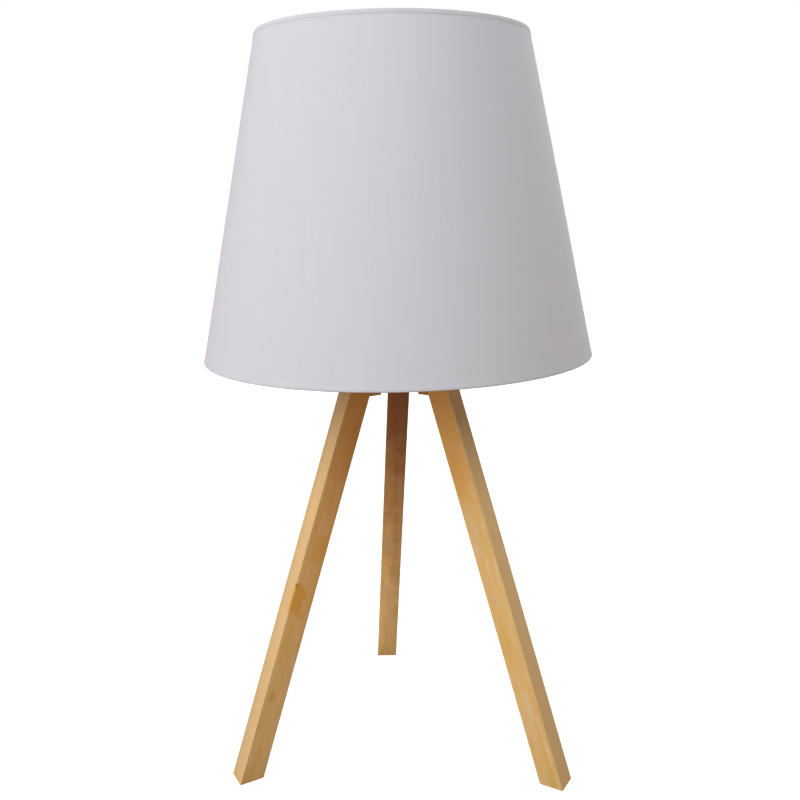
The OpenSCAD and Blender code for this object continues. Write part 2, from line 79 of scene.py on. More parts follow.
def take(piece: Piece) -> None:
    """Selects one piece alone and makes it active.

    Args:
        piece: The piece.
    """
    bpy.ops.object.select_all(action="DESELECT")
    piece.select_set(True)
    bpy.context.view_layer.objects.active = piece


def named(name: str) -> Piece:
    """Names the primitive that was just added.

    Args:
        name: The piece's name, which its mesh takes too.

    Returns:
        The new piece, selected alone.
    """
    piece = bpy.context.active_object
    piece.name = name
    piece.data.name = name
    take(piece)
    return piece


def settle(piece: Piece) -> None:
    """Puts a piece's place, turn and scale into its mesh."""
    take(piece)
    bpy.ops.object.transform_apply(location=True, rotation=True, scale=True)


@contextmanager
def editing(piece: Piece) -> Iterator[None]:
    """Opens a piece in edit mode with nothing selected, and leaves it in object mode.

    Args:
        piece: The piece.

    Yields:
        Nothing, while the piece is open.
    """
    take(piece)
    bpy.ops.object.mode_set(mode="EDIT")
    bpy.ops.mesh.select_mode(type="VERT")
    bpy.ops.mesh.select_all(action="DESELECT")
    yield
    bpy.ops.object.mode_set(mode="OBJECT")


def finish_with(piece: Piece, kind: str, **settings: object) -> None:
    """Adds a modifier to a piece and applies it.

    Args:
        piece: The piece.
        kind: The modifier's type.
        settings: The modifier's own settings.
    """
    take(piece)
    modifier = piece.modifiers.new(kind.lower(), kind)
    for key, value in settings.items():
        setattr(modifier, key, value)
    bpy.ops.object.modifier_apply(modifier=modifier.name)


def smooth(piece: Piece, crease: float = CREASE) -> None:
    """Shades a piece smooth, apart from edges sharper than an angle."""
    take(piece)
    bpy.ops.object.shade_smooth_by_angle(angle=math.radians(crease))


def round_edges(piece: Piece, width: float, segments: int = 3, crease: float = CREASE) -> None:
    """Rounds a piece's edges that are sharper than an angle.

    Args:
        piece: The piece.
        width: The bevel's width.
        segments: How many faces round each edge.
        crease: The least angle of an edge that is rounded, in degrees.
    """
    finish_with(
        piece,
        "BEVEL",
        width=width,
        segments=segments,
        limit_method="ANGLE",
        angle_limit=math.radians(crease),
        use_clamp_overlap=True,
    )
    smooth(piece, crease)


def spun(name: str, outline: Outline, steps: int = 96) -> Piece:
    """Draws a closed outline beside the axis by extruding a point, and spins it round.

    Args:
        name: The piece's name.
        outline: Its points as radius and height, without the first one again at the end.
        steps: How many steps make the full turn.

    Returns:
        The closed piece, with its faces outwards.
    """
    radius, height = outline[0]
    bpy.ops.mesh.primitive_plane_add(size=MM, location=(radius, 0, height))
    piece = named(name)
    settle(piece)
    with editing(piece):
        bpy.ops.mesh.select_all(action="SELECT")
        bpy.ops.mesh.merge(type="CENTER")
        for radius_next, height_next in [*outline[1:], outline[0]]:
            step = (radius_next - radius, 0, height_next - height)
            bpy.ops.mesh.extrude_region_move(TRANSFORM_OT_translate={"value": step})
            radius, height = radius_next, height_next
        bpy.ops.mesh.select_all(action="SELECT")
        bpy.ops.mesh.spin(steps=steps, angle=TURN, center=(0, 0, 0), axis=(0, 0, 1))
        bpy.ops.mesh.select_all(action="SELECT")
        bpy.ops.mesh.remove_doubles(threshold=MERGE)
        bpy.ops.mesh.normals_make_consistent(inside=False)
    smooth(piece)
    return piece


def softened(node: str, width: float, crease: float) -> Piece:
    """Copies a CAD node's mesh, joins its loose triangles and rounds its sharp edges.

    Args:
        node: The CAD node.
        width: The bevel's width.
        crease: The least angle of an edge that is rounded, in degrees.

    Returns:
        The new piece, which can stand for the node.
    """
    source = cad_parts[node]
    piece = bpy.data.objects.new(f"{node}_finished", source.data.copy())
    bpy.context.scene.collection.objects.link(piece)
    piece.data.name = piece.name
    piece.data.materials.clear()
    with editing(piece):
        bpy.ops.mesh.select_all(action="SELECT")
        bpy.ops.mesh.customdata_custom_splitnormals_clear()
        bpy.ops.mesh.remove_doubles(threshold=MERGE)
        bpy.ops.mesh.dissolve_limited(angle_limit=math.radians(FLAT))
    round_edges(piece, width, 2, crease)
    return piece


def push(piece: Piece, shift: Callable[[float, float, float], Point]) -> None:
    """Moves a round piece's points away from the axis and up.

    Args:
        piece: The piece, none of whose points lies on the axis.
        shift: Takes a point's radius, azimuth and height, and gives how far it moves each way.
    """
    for vertex in piece.data.vertices:
        x, y, z = vertex.co
        radius = math.hypot(x, y)
        out, up = shift(radius, math.atan2(y, x), z)
        share = 1 + out / radius
        vertex.co = (x * share, y * share, z + up)
    piece.data.update()


def heights(node: str) -> Point:
    """Returns the heights of a CAD node's lowest and highest points."""
    low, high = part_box(node)
    return low.z, high.z


def turned(degrees: float, axis: str) -> Matrix:
    """Returns a turn about one of the axes, named by its letter."""
    return Matrix.Rotation(math.radians(degrees), 4, axis)


def near_turn(angle: float, other: float) -> float:
    """Returns an angle with full turns added or taken so that it lies nearest to another."""
    return angle - TURN * round((angle - other) / TURN)


def wall(radius: float, low: float, high: float, step: float) -> Outline:
    """Points up a straight wall, a step apart at most.

    Args:
        radius: The wall's radius.
        low: Where it starts.
        high: Where it ends, below the start for a wall that is drawn downwards.
        step: The most that two points lie apart.

    Returns:
        The wall's points, both ends with them.
    """
    count = max(1, math.ceil(abs(high - low) / step))
    return [(radius, low + (high - low) * i / count) for i in range(count + 1)]


def corner(centre: Point, radius: float, start: float, end: float, steps: int = 4) -> Outline:
    """Points round a rounded corner of an outline.

    Args:
        centre: The arc's centre, as radius and height.
        radius: The arc's radius.
        start: Its first angle in degrees, from the outward direction and up.
        end: Its last angle in degrees.
        steps: How many steps it has.

    Returns:
        The arc's points.
    """
    angles = [math.radians(start + (end - start) * i / steps) for i in range(steps + 1)]
    return [(centre[0] + radius * math.cos(a), centre[1] + radius * math.sin(a)) for a in angles]


@dataclass(frozen=True)
class Thread:
    """A rounded right-hand thread on a round wall."""

    low: float
    high: float
    pitch: float
    depth: float

    def height_at(self, turn: float, z: float) -> float:
        """Says how deep the thread lies at a place.

        Args:
            turn: The place's azimuth as a share of a full turn.
            z: The place's height.

        Returns:
            The depth below the crest, from 0 to the thread's own.
        """
        wave = 0.5 - 0.5 * math.cos(TURN * (z / self.pitch - turn))
        run_out = min(1.0, (z - self.low) / self.pitch, (self.high - z) / self.pitch)
        return self.depth * wave * max(0.0, run_out)

    def cut(self, piece: Piece, radii: Sequence[float]) -> None:
        """Draws in a piece's walls along the thread.

        Args:
            piece: A spun piece with fine steps along the walls.
            radii: The radii of the walls that take the thread.
        """

        def drawn_in(radius: float, azimuth: float, z: float) -> Point:
            """Moves a point of a threaded wall inwards, and leaves any other."""
            threaded = self.low < z < self.high and any(abs(radius - r) < MERGE for r in radii)
            return (-self.height_at(azimuth / TURN, z) if threaded else 0.0, 0.0)

        push(piece, drawn_in)


# ---------------------------------------------------------------------------------------
# Wiring of materials


class Kind(Enum):
    """The kinds of socket that a node group has."""

    COLOUR = "NodeSocketColor"
    NUMBER = "NodeSocketFloat"
    VECTOR = "NodeSocketVector"


class Board:
    """A node tree that is being wired: each call adds a node and gives back what it puts out."""

    columns = 12
    gap = Vector((180, 260))

    def __init__(self, tree: bpy.types.NodeTree) -> None:
        """Takes the tree that the nodes go into."""
        self.tree = tree

    def feed(self, socket: Socket, value: Value) -> None:
        """Links another node's output to an input, or sets the input to a plain value.

        Args:
            socket: The input.
            value: What goes to it.
        """
        if isinstance(value, bpy.types.NodeSocket):
            self.tree.links.new(value, socket)
        else:
            socket.default_value = value

    def node(
        self, kind: str, settings: dict[str, object] | None = None, **inputs: Value
    ) -> bpy.types.Node:
        """Adds a node.

        Args:
            kind: The node's type, without ShaderNode in front.
            settings: The node's own settings.
            inputs: Its inputs by name, with _ for a space.

        Returns:
            The node.
        """
        node = self.tree.nodes.new("ShaderNode" + kind)
        row, column = divmod(len(self.tree.nodes), self.columns)
        node.location = (self.gap.x * column, -self.gap.y * row)
        for key, value in (settings or {}).items():
            setattr(node, key, value)
        for key, value in inputs.items():
            self.feed(node.inputs[key.replace("_", " ")], value)
        return node

    def math(self, operation: str, *values: Value, clamp: bool = False) -> Socket:
        """Adds a Math node.

        Args:
            operation: What it does.
            values: Its inputs in order.
            clamp: Whether its value stays between 0 and 1.

        Returns:
            Its value.
        """
        node = self.node("Math", {"operation": operation, "use_clamp": clamp})
        for socket, value in zip(node.inputs, values):
            self.feed(socket, value)
        return node.outputs[0]

    def times(self, first: Value, second: Value) -> Socket:
        """Puts out the product of two values."""
        return self.math("MULTIPLY", first, second)

    def plus(self, first: Value, second: Value, clamp: bool = False) -> Socket:
        """Puts out the sum of two values, between 0 and 1 if it is clamped."""
        return self.math("ADD", first, second, clamp=clamp)

    def times_plus(self, first: Value, second: Value, more: Value) -> Socket:
        """Puts out the product of two values with a third one added."""
        return self.math("MULTIPLY_ADD", first, second, more)

    def vector(self, operation: str, *values: Value) -> Socket:
        """Adds a Vector Math node.

        Args:
            operation: What it does.
            values: Its inputs in order.

        Returns:
            Its vector, or its value where it gives one.
        """
        node = self.node("VectorMath", {"operation": operation})
        for socket, value in zip(node.inputs, values):
            self.feed(socket, value)
        scalar = operation in ("DOT_PRODUCT", "LENGTH", "DISTANCE")
        return node.outputs["Value" if scalar else "Vector"]

    def noise(self, place: Value, scale: Value, detail: float, colour: bool = False) -> Socket:
        """Adds a Noise Texture and returns its value, or its three values as a colour."""
        node = self.node("TexNoise", Vector=place, Scale=scale, Detail=detail)
        return node.outputs["Color" if colour else "Fac"]

    def streaks(self, place: Value, waves: Point, detail: float, colour: bool = False) -> Socket:
        """Adds a noise that has its own number of waves to a unit across Z and along it."""
        across, along = waves
        stretched = self.vector("MULTIPLY", place, (across, across, along))
        return self.noise(stretched, 1.0, detail, colour)

    def blend(self, amount: Value, first: Value, second: Value) -> Socket:
        """Mixes two colours.

        Args:
            amount: The second colour's share.
            first: The first colour.
            second: The second colour.

        Returns:
            The mixture.
        """
        node = self.node("Mix", {"data_type": "RGBA"})
        for index, value in zip((0, 6, 7), (amount, first, second)):
            self.feed(node.inputs[index], value)
        return node.outputs[2]

    def spread(
        self, value: Value, low: float, high: float, new_low: Value, new_high: Value
    ) -> Socket:
        """Maps one range of values to another and holds what lies outside at its ends.

        Args:
            value: The value.
            low: Where the first range starts.
            high: Where it ends.
            new_low: What its start becomes.
            new_high: What its end becomes.

        Returns:
            The mapped value.
        """
        node = self.node(
            "MapRange", Value=value, From_Min=low, From_Max=high, To_Min=new_low, To_Max=new_high
        )
        return node.outputs["Result"]

    def by_camera(self, cast: Socket, seen: Socket) -> Socket:
        """Shows one shader to every ray but the camera's.

        Args:
            cast: The shader that lights and reflections meet.
            seen: The shader that the camera sees.

        Returns:
            The shader that does both.
        """
        node = self.node("MixShader", Fac=self.node("LightPath").outputs["Is Camera Ray"])
        for index, shader in ((1, cast), (2, seen)):
            self.feed(node.inputs[index], shader)
        return node.outputs[0]


PLACE = {"Place": (Kind.VECTOR, (0.0, 0.0, 0.0))}


class Effect:
    """A shader node group that several finishes share, built when it is first used."""

    name = ""
    inputs: dict[str, tuple[Kind, Value]] = {}
    outputs: dict[str, Kind] = {}

    def wire(self, board: Board, given: bpy.types.NodeOutputs) -> dict[str, Value]:
        """Builds the group's inside.

        Args:
            board: The group's tree.
            given: The group's inputs.

        Returns:
            What goes to each output, by name.
        """
        raise NotImplementedError

    def tree(self) -> bpy.types.NodeTree:
        """Builds the group's tree the first time.

        Returns:
            The tree.
        """
        made = bpy.data.node_groups.get(self.name)
        if made:
            return made
        made = bpy.data.node_groups.new(self.name, "ShaderNodeTree")
        for label, (kind, default) in self.inputs.items():
            socket = made.interface.new_socket(name=label, in_out="INPUT", socket_type=kind.value)
            socket.default_value = default
        for label, kind in self.outputs.items():
            made.interface.new_socket(name=label, in_out="OUTPUT", socket_type=kind.value)
        given = made.nodes.new("NodeGroupInput")
        result = made.nodes.new("NodeGroupOutput")
        board = Board(made)
        for label, value in self.wire(board, given.outputs).items():
            board.feed(result.inputs[label], value)
        return made

    def place(self, board: Board, **inputs: Value) -> bpy.types.NodeOutputs:
        """Puts the group into a material.

        Args:
            board: The material's tree.
            inputs: The group's inputs by name, with _ for a space.

        Returns:
            The group node's outputs.
        """
        node = board.tree.nodes.new("ShaderNodeGroup")
        node.node_tree = self.tree()
        for key, value in inputs.items():
            board.feed(node.inputs[key.replace("_", " ")], value)
        return node.outputs


class Mottle(Effect):
    """A slow drift of tone over a surface, as paint, plastic and cloth have."""

    name = "mottle"
    inputs = {
        **PLACE,
        "Patch": (Kind.NUMBER, 20.0),
        "Low": (Kind.NUMBER, 0.0),
        "High": (Kind.NUMBER, 1.0),
    }
    outputs = {"Tone": Kind.NUMBER}
    finer = 7.3
    fine_share = 0.35

    def wire(self, board: Board, given: bpy.types.NodeOutputs) -> dict[str, Value]:
        """Adds two sizes of noise and spreads them from Low to High.

        Args:
            board: The group's tree.
            given: The group's inputs.

        Returns:
            What goes to each output, by name.
        """
        scale = board.math("DIVIDE", 1.0, given["Patch"])
        slow = board.noise(given["Place"], scale, 1.0)
        quick = board.noise(given["Place"], board.times(scale, self.finer), 3.0)
        rest = board.times(slow, 1 - self.fine_share)
        both = board.times_plus(quick, self.fine_share, rest)
        return {"Tone": board.spread(both, 0.3, 0.7, given["Low"], given["High"])}


class EdgeWear(Effect):
    """A mask of a solid's rubbed edges, broken up along their length."""

    name = "edge_wear"
    inputs = {
        **PLACE,
        "Width": (Kind.NUMBER, 0.0008),
        "Breakup": (Kind.NUMBER, 0.5),
    }
    outputs = {"Mask": Kind.NUMBER}
    likeness_on_face = 0.999
    likeness_on_edge = 0.86
    rub_scale = 0.35

    def wire(self, board: Board, given: bpy.types.NodeOutputs) -> dict[str, Value]:
        """Compares the rounded normal with the flat one.

        Args:
            board: The group's tree.
            given: The group's inputs.

        Returns:
            What goes to each output, by name.
        """
        rounded = board.node("Bevel", {"samples": 4}, Radius=given["Width"])
        flat = board.node("NewGeometry").outputs["Normal"]
        likeness = board.vector("DOT_PRODUCT", rounded.outputs["Normal"], flat)
        edge = board.spread(likeness, self.likeness_on_face, self.likeness_on_edge, 0.0, 1.0)
        rub = board.noise(given["Place"], self.rub_scale, 3.0)
        kept = board.times(rub, given["Breakup"])
        return {"Mask": board.math("SUBTRACT", edge, kept, clamp=True)}


class Dust(Effect):
    """A thin film of dust on what faces up."""

    name = "dust_film"
    inputs = {**PLACE, "Amount": (Kind.NUMBER, 0.2)}
    outputs = {"Mask": Kind.NUMBER}
    least_rise = 0.35
    grain_scale = 1.7

    def wire(self, board: Board, given: bpy.types.NodeOutputs) -> dict[str, Value]:
        """Spreads fine noise over the faces whose normals point up.

        Args:
            board: The group's tree.
            given: The group's inputs.

        Returns:
            What goes to each output, by name.
        """
        normal = board.node("NewGeometry").outputs["Normal"]
        rise = board.vector("DOT_PRODUCT", normal, (0.0, 0.0, 1.0))
        up = board.spread(rise, self.least_rise, 1.0, 0.0, 1.0)
        speckle = board.noise(given["Place"], self.grain_scale, 4.0)
        film = board.times(up, board.spread(speckle, 0.35, 0.75, 0.3, 1.0))
        return {"Mask": board.times(film, given["Amount"])}


class Grain(Effect):
    """Straight wood grain along Z: growth rings, fibres, pores, pale flecks and a slow drift."""

    name = "wood_grain"
    inputs = {
        **PLACE,
        "Pale": (Kind.COLOUR, (0.7, 0.5, 0.3, 1.0)),
        "Dark": (Kind.COLOUR, (0.5, 0.3, 0.15, 1.0)),
        "Pith": (Kind.VECTOR, (40.0, 25.0, 0.0)),
        "Ring Gap": (Kind.NUMBER, 2.6),
        "Figure": (Kind.NUMBER, 0.6),
        "Fibre": (Kind.NUMBER, 0.6),
        "Amber": (Kind.COLOUR, (0.72, 0.45, 0.11, 1.0)),
        "Blush": (Kind.COLOUR, (0.80, 0.56, 0.37, 1.0)),
    }
    outputs = {"Colour": Kind.COLOUR, "Height": Kind.NUMBER, "Late Wood": Kind.NUMBER}
    # Waves to a millimetre across the grain and along it.
    bend = (0.035, 0.006)
    fibres = (1.5, 0.035)
    drift = (0.07, 0.012)
    pores = (3.6, 0.13)
    flecks = (0.62, 0.045)
    patches = (0.2, 0.045)
    # How far the rings wander, in millimetres, and how narrow their late wood is.
    wander = 11.0
    late = 2.2

    def wire(self, board: Board, given: bpy.types.NodeOutputs) -> dict[str, Value]:
        """Bends the rings, adds fibres, pores and flecks, and mixes pale and dark by their sum.

        Args:
            board: The group's tree.
            given: The group's inputs.

        Returns:
            What goes to each output, by name.
        """
        place = given["Place"]
        bent = board.streaks(place, self.bend, 2.0, colour=True)
        wander = board.vector("SCALE", board.vector("SUBTRACT", bent, (0.5, 0.5, 0.5)))
        wander.node.inputs["Scale"].default_value = self.wander
        off = board.vector("ADD", board.vector("ADD", place, wander), given["Pith"])
        across = board.vector("LENGTH", board.vector("MULTIPLY", off, (1.0, 1.0, 0.0)))
        phase = board.times(board.math("DIVIDE", across, given["Ring Gap"]), TURN)
        wave = board.times_plus(board.math("SINE", phase), 0.5, 0.5)
        ring = board.math("POWER", wave, self.late)
        fibre = board.streaks(place, self.fibres, 4.0)
        drift = board.streaks(place, self.drift, 2.0)
        pore = board.spread(board.streaks(place, self.pores, 1.0), 0.63, 0.74, 0.0, 1.0)
        fleck = board.spread(board.streaks(place, self.flecks, 2.0), 0.58, 0.7, 0.0, -0.4)
        streak = board.times(board.math("SUBTRACT", fibre, 0.5), given["Fibre"])
        figure = board.times(board.math("SUBTRACT", drift, 0.5), given["Figure"])
        rings = board.times(ring, board.spread(drift, 0.35, 0.65, 0.06, 0.2))
        base = board.plus(board.plus(rings, fleck), board.plus(streak, figure))
        amount = board.plus(board.times_plus(pore, 0.16, base), 0.4, clamp=True)
        relief = board.times_plus(pore, -0.6, board.times(fibre, 0.5))
        patches = board.streaks(place, self.patches, 2.5, colour=True)
        patch = board.node("SeparateColor", Color=patches).outputs
        amber = board.spread(patch["Red"], 0.48, 0.7, 0.0, 0.65)
        blush = board.spread(patch["Green"], 0.5, 0.72, 0.0, 0.5)
        colour = board.blend(amount, given["Pale"], given["Dark"])
        colour = board.blend(amber, colour, given["Amber"])
        return {
            "Colour": board.blend(blush, colour, given["Blush"]),
            "Height": board.times_plus(ring, 0.2, relief),
            "Late Wood": ring,
        }


class Weave(Effect):
    """A plain weave of uneven yarns, from a place on the flat cloth in millimetres."""

    name = "plain_weave"
    inputs = {
        **PLACE,
        "Yarn": (Kind.NUMBER, 0.55),
        "Slub": (Kind.NUMBER, 0.5),
    }
    outputs = {"Height": Kind.NUMBER, "Tone": Kind.NUMBER}
    # How uneven the yarns run, in millimetres, and how fast their tone changes along them.
    shake = 0.35
    shake_scale = 0.3
    length = 0.03

    def wire(self, board: Board, given: bpy.types.NodeOutputs) -> dict[str, Value]:
        """Lays warp over weft by turns, and gives each yarn its own tone and thick places.

        Args:
            board: The group's tree.
            given: The group's inputs.

        Returns:
            What goes to each output, by name.
        """
        yarn = given["Yarn"]
        shake = board.noise(given["Place"], self.shake_scale, 2.0, colour=True)
        moved = board.vector("MULTIPLY_ADD", shake, (self.shake, self.shake, 0.0), given["Place"])
        gauge = board.node("CombineXYZ", X=yarn, Y=yarn, Z=1.0).outputs[0]
        counted = board.node("SeparateXYZ", Vector=board.vector("DIVIDE", moved, gauge)).outputs
        across, along = counted["X"], counted["Y"]
        column, row = board.math("FLOOR", across), board.math("FLOOR", along)
        over = board.math("PINGPONG", board.plus(column, row), 1.0)
        crown_x, crown_y = (
            board.math("ABSOLUTE", board.math("SINE", board.times(count, math.pi)))
            for count in (across, along)
        )
        warp_up = board.times(crown_y, board.math("SQRT", crown_x))
        weft_up = board.times(crown_x, board.math("SQRT", crown_y))
        gap = board.math("SUBTRACT", warp_up, weft_up)
        height = board.times_plus(over, gap, weft_up)
        down, right = (board.times(count, self.length) for count in (along, across))
        warp = board.node("CombineXYZ", X=column, Y=down, Z=3.0).outputs[0]
        weft = board.node("CombineXYZ", X=right, Y=row, Z=9.0).outputs[0]
        warp_tone, weft_tone = (board.noise(thread, 0.83, 1.0) for thread in (warp, weft))
        tone = board.times(board.plus(warp_tone, weft_tone), 0.5)
        thick = board.times(board.math("SUBTRACT", tone, 0.5), given["Slub"])
        return {"Height": board.plus(height, thick), "Tone": tone}


# ---------------------------------------------------------------------------------------
# Finishes


WHITE = (1.0, 1.0, 1.0)


def rgba(colour: Triple, share: float = 1.0, lift: float = 0.0) -> tuple[float, ...]:
    """Returns a colour with full alpha, scaled and then lifted towards white."""
    return (*(min(1.0, lift + share * part) for part in colour), 1.0)


@dataclass(frozen=True)
class Finish:
    """A finish that is made into a material when it is first put on a piece."""

    name: str

    def material(self) -> bpy.types.Material:
        """Builds the finish's material the first time.

        Returns:
            The material.
        """
        made = bpy.data.materials.get(self.name)
        if made:
            return made
        made = bpy.data.materials.new(self.name)
        made.use_nodes = True
        made.node_tree.nodes.clear()
        board = Board(made.node_tree)
        board.node("OutputMaterial", Surface=self.surface(board))
        return made

    def surface(self, board: Board) -> Socket:
        """Puts out a shader with the finish's looks."""
        return board.node("BsdfPrincipled", **self.looks(board)).outputs["BSDF"]

    def looks(self, board: Board) -> dict[str, Value]:
        """Wires the finish's colour, roughness and relief.

        Args:
            board: The material's tree.

        Returns:
            What goes to the shader's inputs, by name, with _ for a space.
        """
        raise NotImplementedError

    def cover(self, *pieces: Piece) -> None:
        """Puts the finish on pieces, in place of what their slots hold.

        Args:
            pieces: The pieces, CAD nodes among them.
        """
        for piece in pieces:
            if not piece.data.materials:
                piece.data.materials.append(self.material())
            for holder in piece.material_slots:
                holder.material = self.material()

    def cover_nodes(self, *nodes: str) -> None:
        """Puts the finish on CAD nodes that stay as they are."""
        self.cover(*(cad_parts[node] for node in nodes))


def in_millimetres(board: Board, own_axes: Matrix | None = None) -> Socket:
    """Puts out a surface's place in millimetres, in the frame or in a piece's own axes.

    Args:
        board: The material's tree.
        own_axes: The place of the piece's own axes, in metres, where the pattern follows them.

    Returns:
        The place as a vector.
    """
    seen = board.node("TexCoord").outputs["Object"]
    inward = (own_axes or Matrix.Identity(4)).inverted()
    mapping = board.node("Mapping", {"vector_type": "POINT"}, Vector=seen)
    mapping.inputs["Location"].default_value = inward.to_translation() / MM
    mapping.inputs["Rotation"].default_value = inward.to_euler("XYZ")
    mapping.inputs["Scale"].default_value = (1 / MM,) * 3
    return mapping.outputs["Vector"]


def bump(board: Board, height: Value, depth: float, strength: float) -> Socket:
    """Turns a height, where 1 is the full depth in metres, into a bumped normal."""
    return board.node("Bump", Height=height, Distance=depth, Strength=strength).outputs["Normal"]


def mottled(board: Board, place: Socket, patch: float, high: float, low: float = 0.0) -> Socket:
    """Puts out a tone that drifts from low to high over patches of a size."""
    return Mottle().place(board, Place=place, Patch=patch, Low=low, High=high)["Tone"]


def worn(board: Board, place: Socket, width: float, breakup: float) -> Socket:
    """Puts out where a solid's edges are rubbed, over a width in metres."""
    return EdgeWear().place(board, Place=place, Width=width, Breakup=breakup)["Mask"]


@dataclass(frozen=True)
class Stain:
    """A resin stain or a pin knot on one face of a leg, in the leg's own millimetres."""

    place: Triple
    reach: Triple
    strength: float
    colour: Triple
    slant: float = 0.0
    ragged: float = 0.22

    def mask(self, board: Board, place: Socket) -> Socket:
        """Puts out where the stain lies, with a ragged edge.

        Args:
            board: The material's tree.
            place: The place in the wood's own axes.

        Returns:
            The stain's mask.
        """
        off = board.node("SeparateXYZ", Vector=board.vector("SUBTRACT", place, self.place)).outputs
        down = board.times_plus(off["X"], self.slant, off["Z"])
        across, deep, along = (
            board.math("ABSOLUTE", board.math("DIVIDE", value, reach))
            for value, reach in zip((off["X"], off["Y"], down), self.reach)
        )
        ragged = board.spread(board.noise(place, 0.3, 3.0), 0.3, 0.7, -self.ragged, self.ragged)
        out = board.plus(board.math("MAXIMUM", across, along), ragged)
        on_face = board.spread(deep, 1.0, 0.1, 0.0, 1.0)
        return board.times(board.spread(out, 1.15, 0.75, 0.0, self.strength), on_face)


@dataclass(frozen=True)
class Timber(Finish):
    """Clear-coated pale wood with its grain along one axis."""

    pale: Triple = (0.88, 0.605, 0.268)
    dark: Triple = (0.70, 0.385, 0.105)
    rubbed: Triple = (0.86, 0.68, 0.44)
    axes: tuple[tuple[float, ...], ...] | None = None
    pith: Triple = (38.0, 22.0, 0.0)
    ring_gap: float = 2.7
    figure: float = 0.75
    fibre: float = 0.36
    # The next four settings paint shade into a leg towards its top, under the lampshade: the
    # painted shade's colour, its full share, and the places along the leg, in millimetres from the
    # bolt, where it starts and where it is full.
    deep: Triple = (0.37, 0.13, 0.034)
    painted_shade_share: float = 0.9
    painted_shade_from: float = -170.0
    painted_shade_to: float = -25.0
    # The next four paint light on a leg's outer face, where the key light falls: the lit colour,
    # where the outer face lies across the leg, the lit colour's share, and how much painted shade
    # the outer face keeps.
    outer: Triple | None = None
    outer_face: Point = (13.4, 14.9)
    painted_light_share: float = 0.75
    outer_face_painted_shade: float = 0.3
    # How far the painted shade's lower edge wavers, in millimetres.
    ragged: float = 16.0
    stains: tuple[Stain, ...] = ()
    rough: float = 0.43

    def looks(self, board: Board) -> dict[str, Value]:
        """Wires the grain, the painted shade and light, the stains, the rubbed arrises and the
        lacquer.

        Args:
            board: The material's tree.

        Returns:
            What goes to the shader's inputs, by name, with _ for a space.
        """
        place = in_millimetres(board, Matrix(self.axes) if self.axes else None)
        grain = Grain().place(
            board,
            Place=place,
            Pale=rgba(self.pale),
            Dark=rgba(self.dark),
            Pith=self.pith,
            Ring_Gap=self.ring_gap,
            Figure=self.figure,
            Fibre=self.fibre,
        )
        colour = grain["Colour"]
        # Painted shade under the lampshade, and painted light on the outer face.
        if self.painted_shade_share:
            colour = self.painted_shade_and_light(board, place, colour)
        for stain in self.stains:
            colour = board.blend(stain.mask(board, place), colour, rgba(stain.colour))
        arris = board.times(worn(board, place, width=0.7 * MM, breakup=0.9), 0.3)
        rough = board.plus(mottled(board, place, patch=9.0, high=0.08), self.rough)
        return {
            "Base_Color": board.blend(arris, colour, rgba(self.rubbed)),
            "Roughness": board.times_plus(grain["Late Wood"], -0.06, rough),
            "Normal": bump(board, grain["Height"], depth=0.06 * MM, strength=0.7),
            "Coat_Weight": 0.12,
            "Coat_Roughness": 0.3,
        }

    def painted_shade_and_light(self, board: Board, place: Socket, colour: Socket) -> Socket:
        """Paints shade into a leg's colour towards its top, under the lampshade, and paints light
        on its outer face.

        Args:
            board: The material's tree.
            place: The place in the wood's own axes.
            colour: The grain's colour.

        Returns:
            The colour with the painted shade and light.
        """
        along = board.node("SeparateXYZ", Vector=place).outputs
        drift = board.spread(board.noise(place, 0.09, 2.0), 0.3, 0.7, -self.ragged, self.ragged)
        up = board.plus(along["Z"], drift)
        # Painted shade: darker towards the leg's top, less of it on the outer face.
        painted_shade_mask = board.spread(up, self.painted_shade_from, self.painted_shade_to, 0.0, self.painted_shade_share)
        inside = board.spread(along["X"], *self.outer_face, 1.0, self.outer_face_painted_shade)
        colour = board.blend(board.times(painted_shade_mask, inside), colour, rgba(self.deep))
        if self.outer:
            # Painted light: the outer face paler, where the key light falls.
            painted_light_mask = board.spread(along["X"], *self.outer_face, 0.0, self.painted_light_share)
            colour = board.blend(painted_light_mask, colour, rgba(self.outer))
        return colour


@dataclass(frozen=True)
class Linen(Finish):
    """Fine pale linen in a plain weave."""

    colour: Triple = (0.598, 0.605, 0.664)
    shadow: Triple = (0.52, 0.525, 0.582)
    yarn: float = 0.5
    shift: Triple = (0.0, 0.0, 0.0)

    def looks(self, board: Board) -> dict[str, Value]:
        """Wires the weave from the cloth's own flat map.

        Args:
            board: The material's tree.

        Returns:
            What goes to the shader's inputs, by name, with _ for a space.
        """
        flat = board.node("UVMap", {"uv_map": CLOTH_MAP}).outputs["UV"]
        flat = board.vector("MULTIPLY", flat, (1 / MM, 1 / MM, 0.0))
        place = board.vector("ADD", flat, self.shift)
        weave = Weave().place(board, Place=place, Yarn=self.yarn, Slub=0.5)
        # Painted shade in the gaps between the yarns; the yarns' own tone and the slow cloud are
        # the cloth's.
        painted_pit_shade = board.spread(weave["Height"], 0.1, 0.65, 0.55, 0.0)
        yarns = board.spread(weave["Tone"], 0.35, 0.65, 0.1, -0.02)
        cloud = mottled(board, place, patch=34.0, high=0.03, low=-0.03)
        shade = board.plus(board.plus(painted_pit_shade, yarns), cloud, clamp=True)
        return {
            "Base_Color": board.blend(shade, rgba(self.colour), rgba(self.shadow)),
            "Roughness": board.spread(weave["Height"], 0.0, 1.0, 0.95, 0.82),
            "Normal": bump(board, weave["Height"], depth=0.07 * MM, strength=0.55),
            "Specular_IOR_Level": 0.25,
            "Sheen_Weight": 0.08,
            "Sheen_Roughness": 0.5,
        }


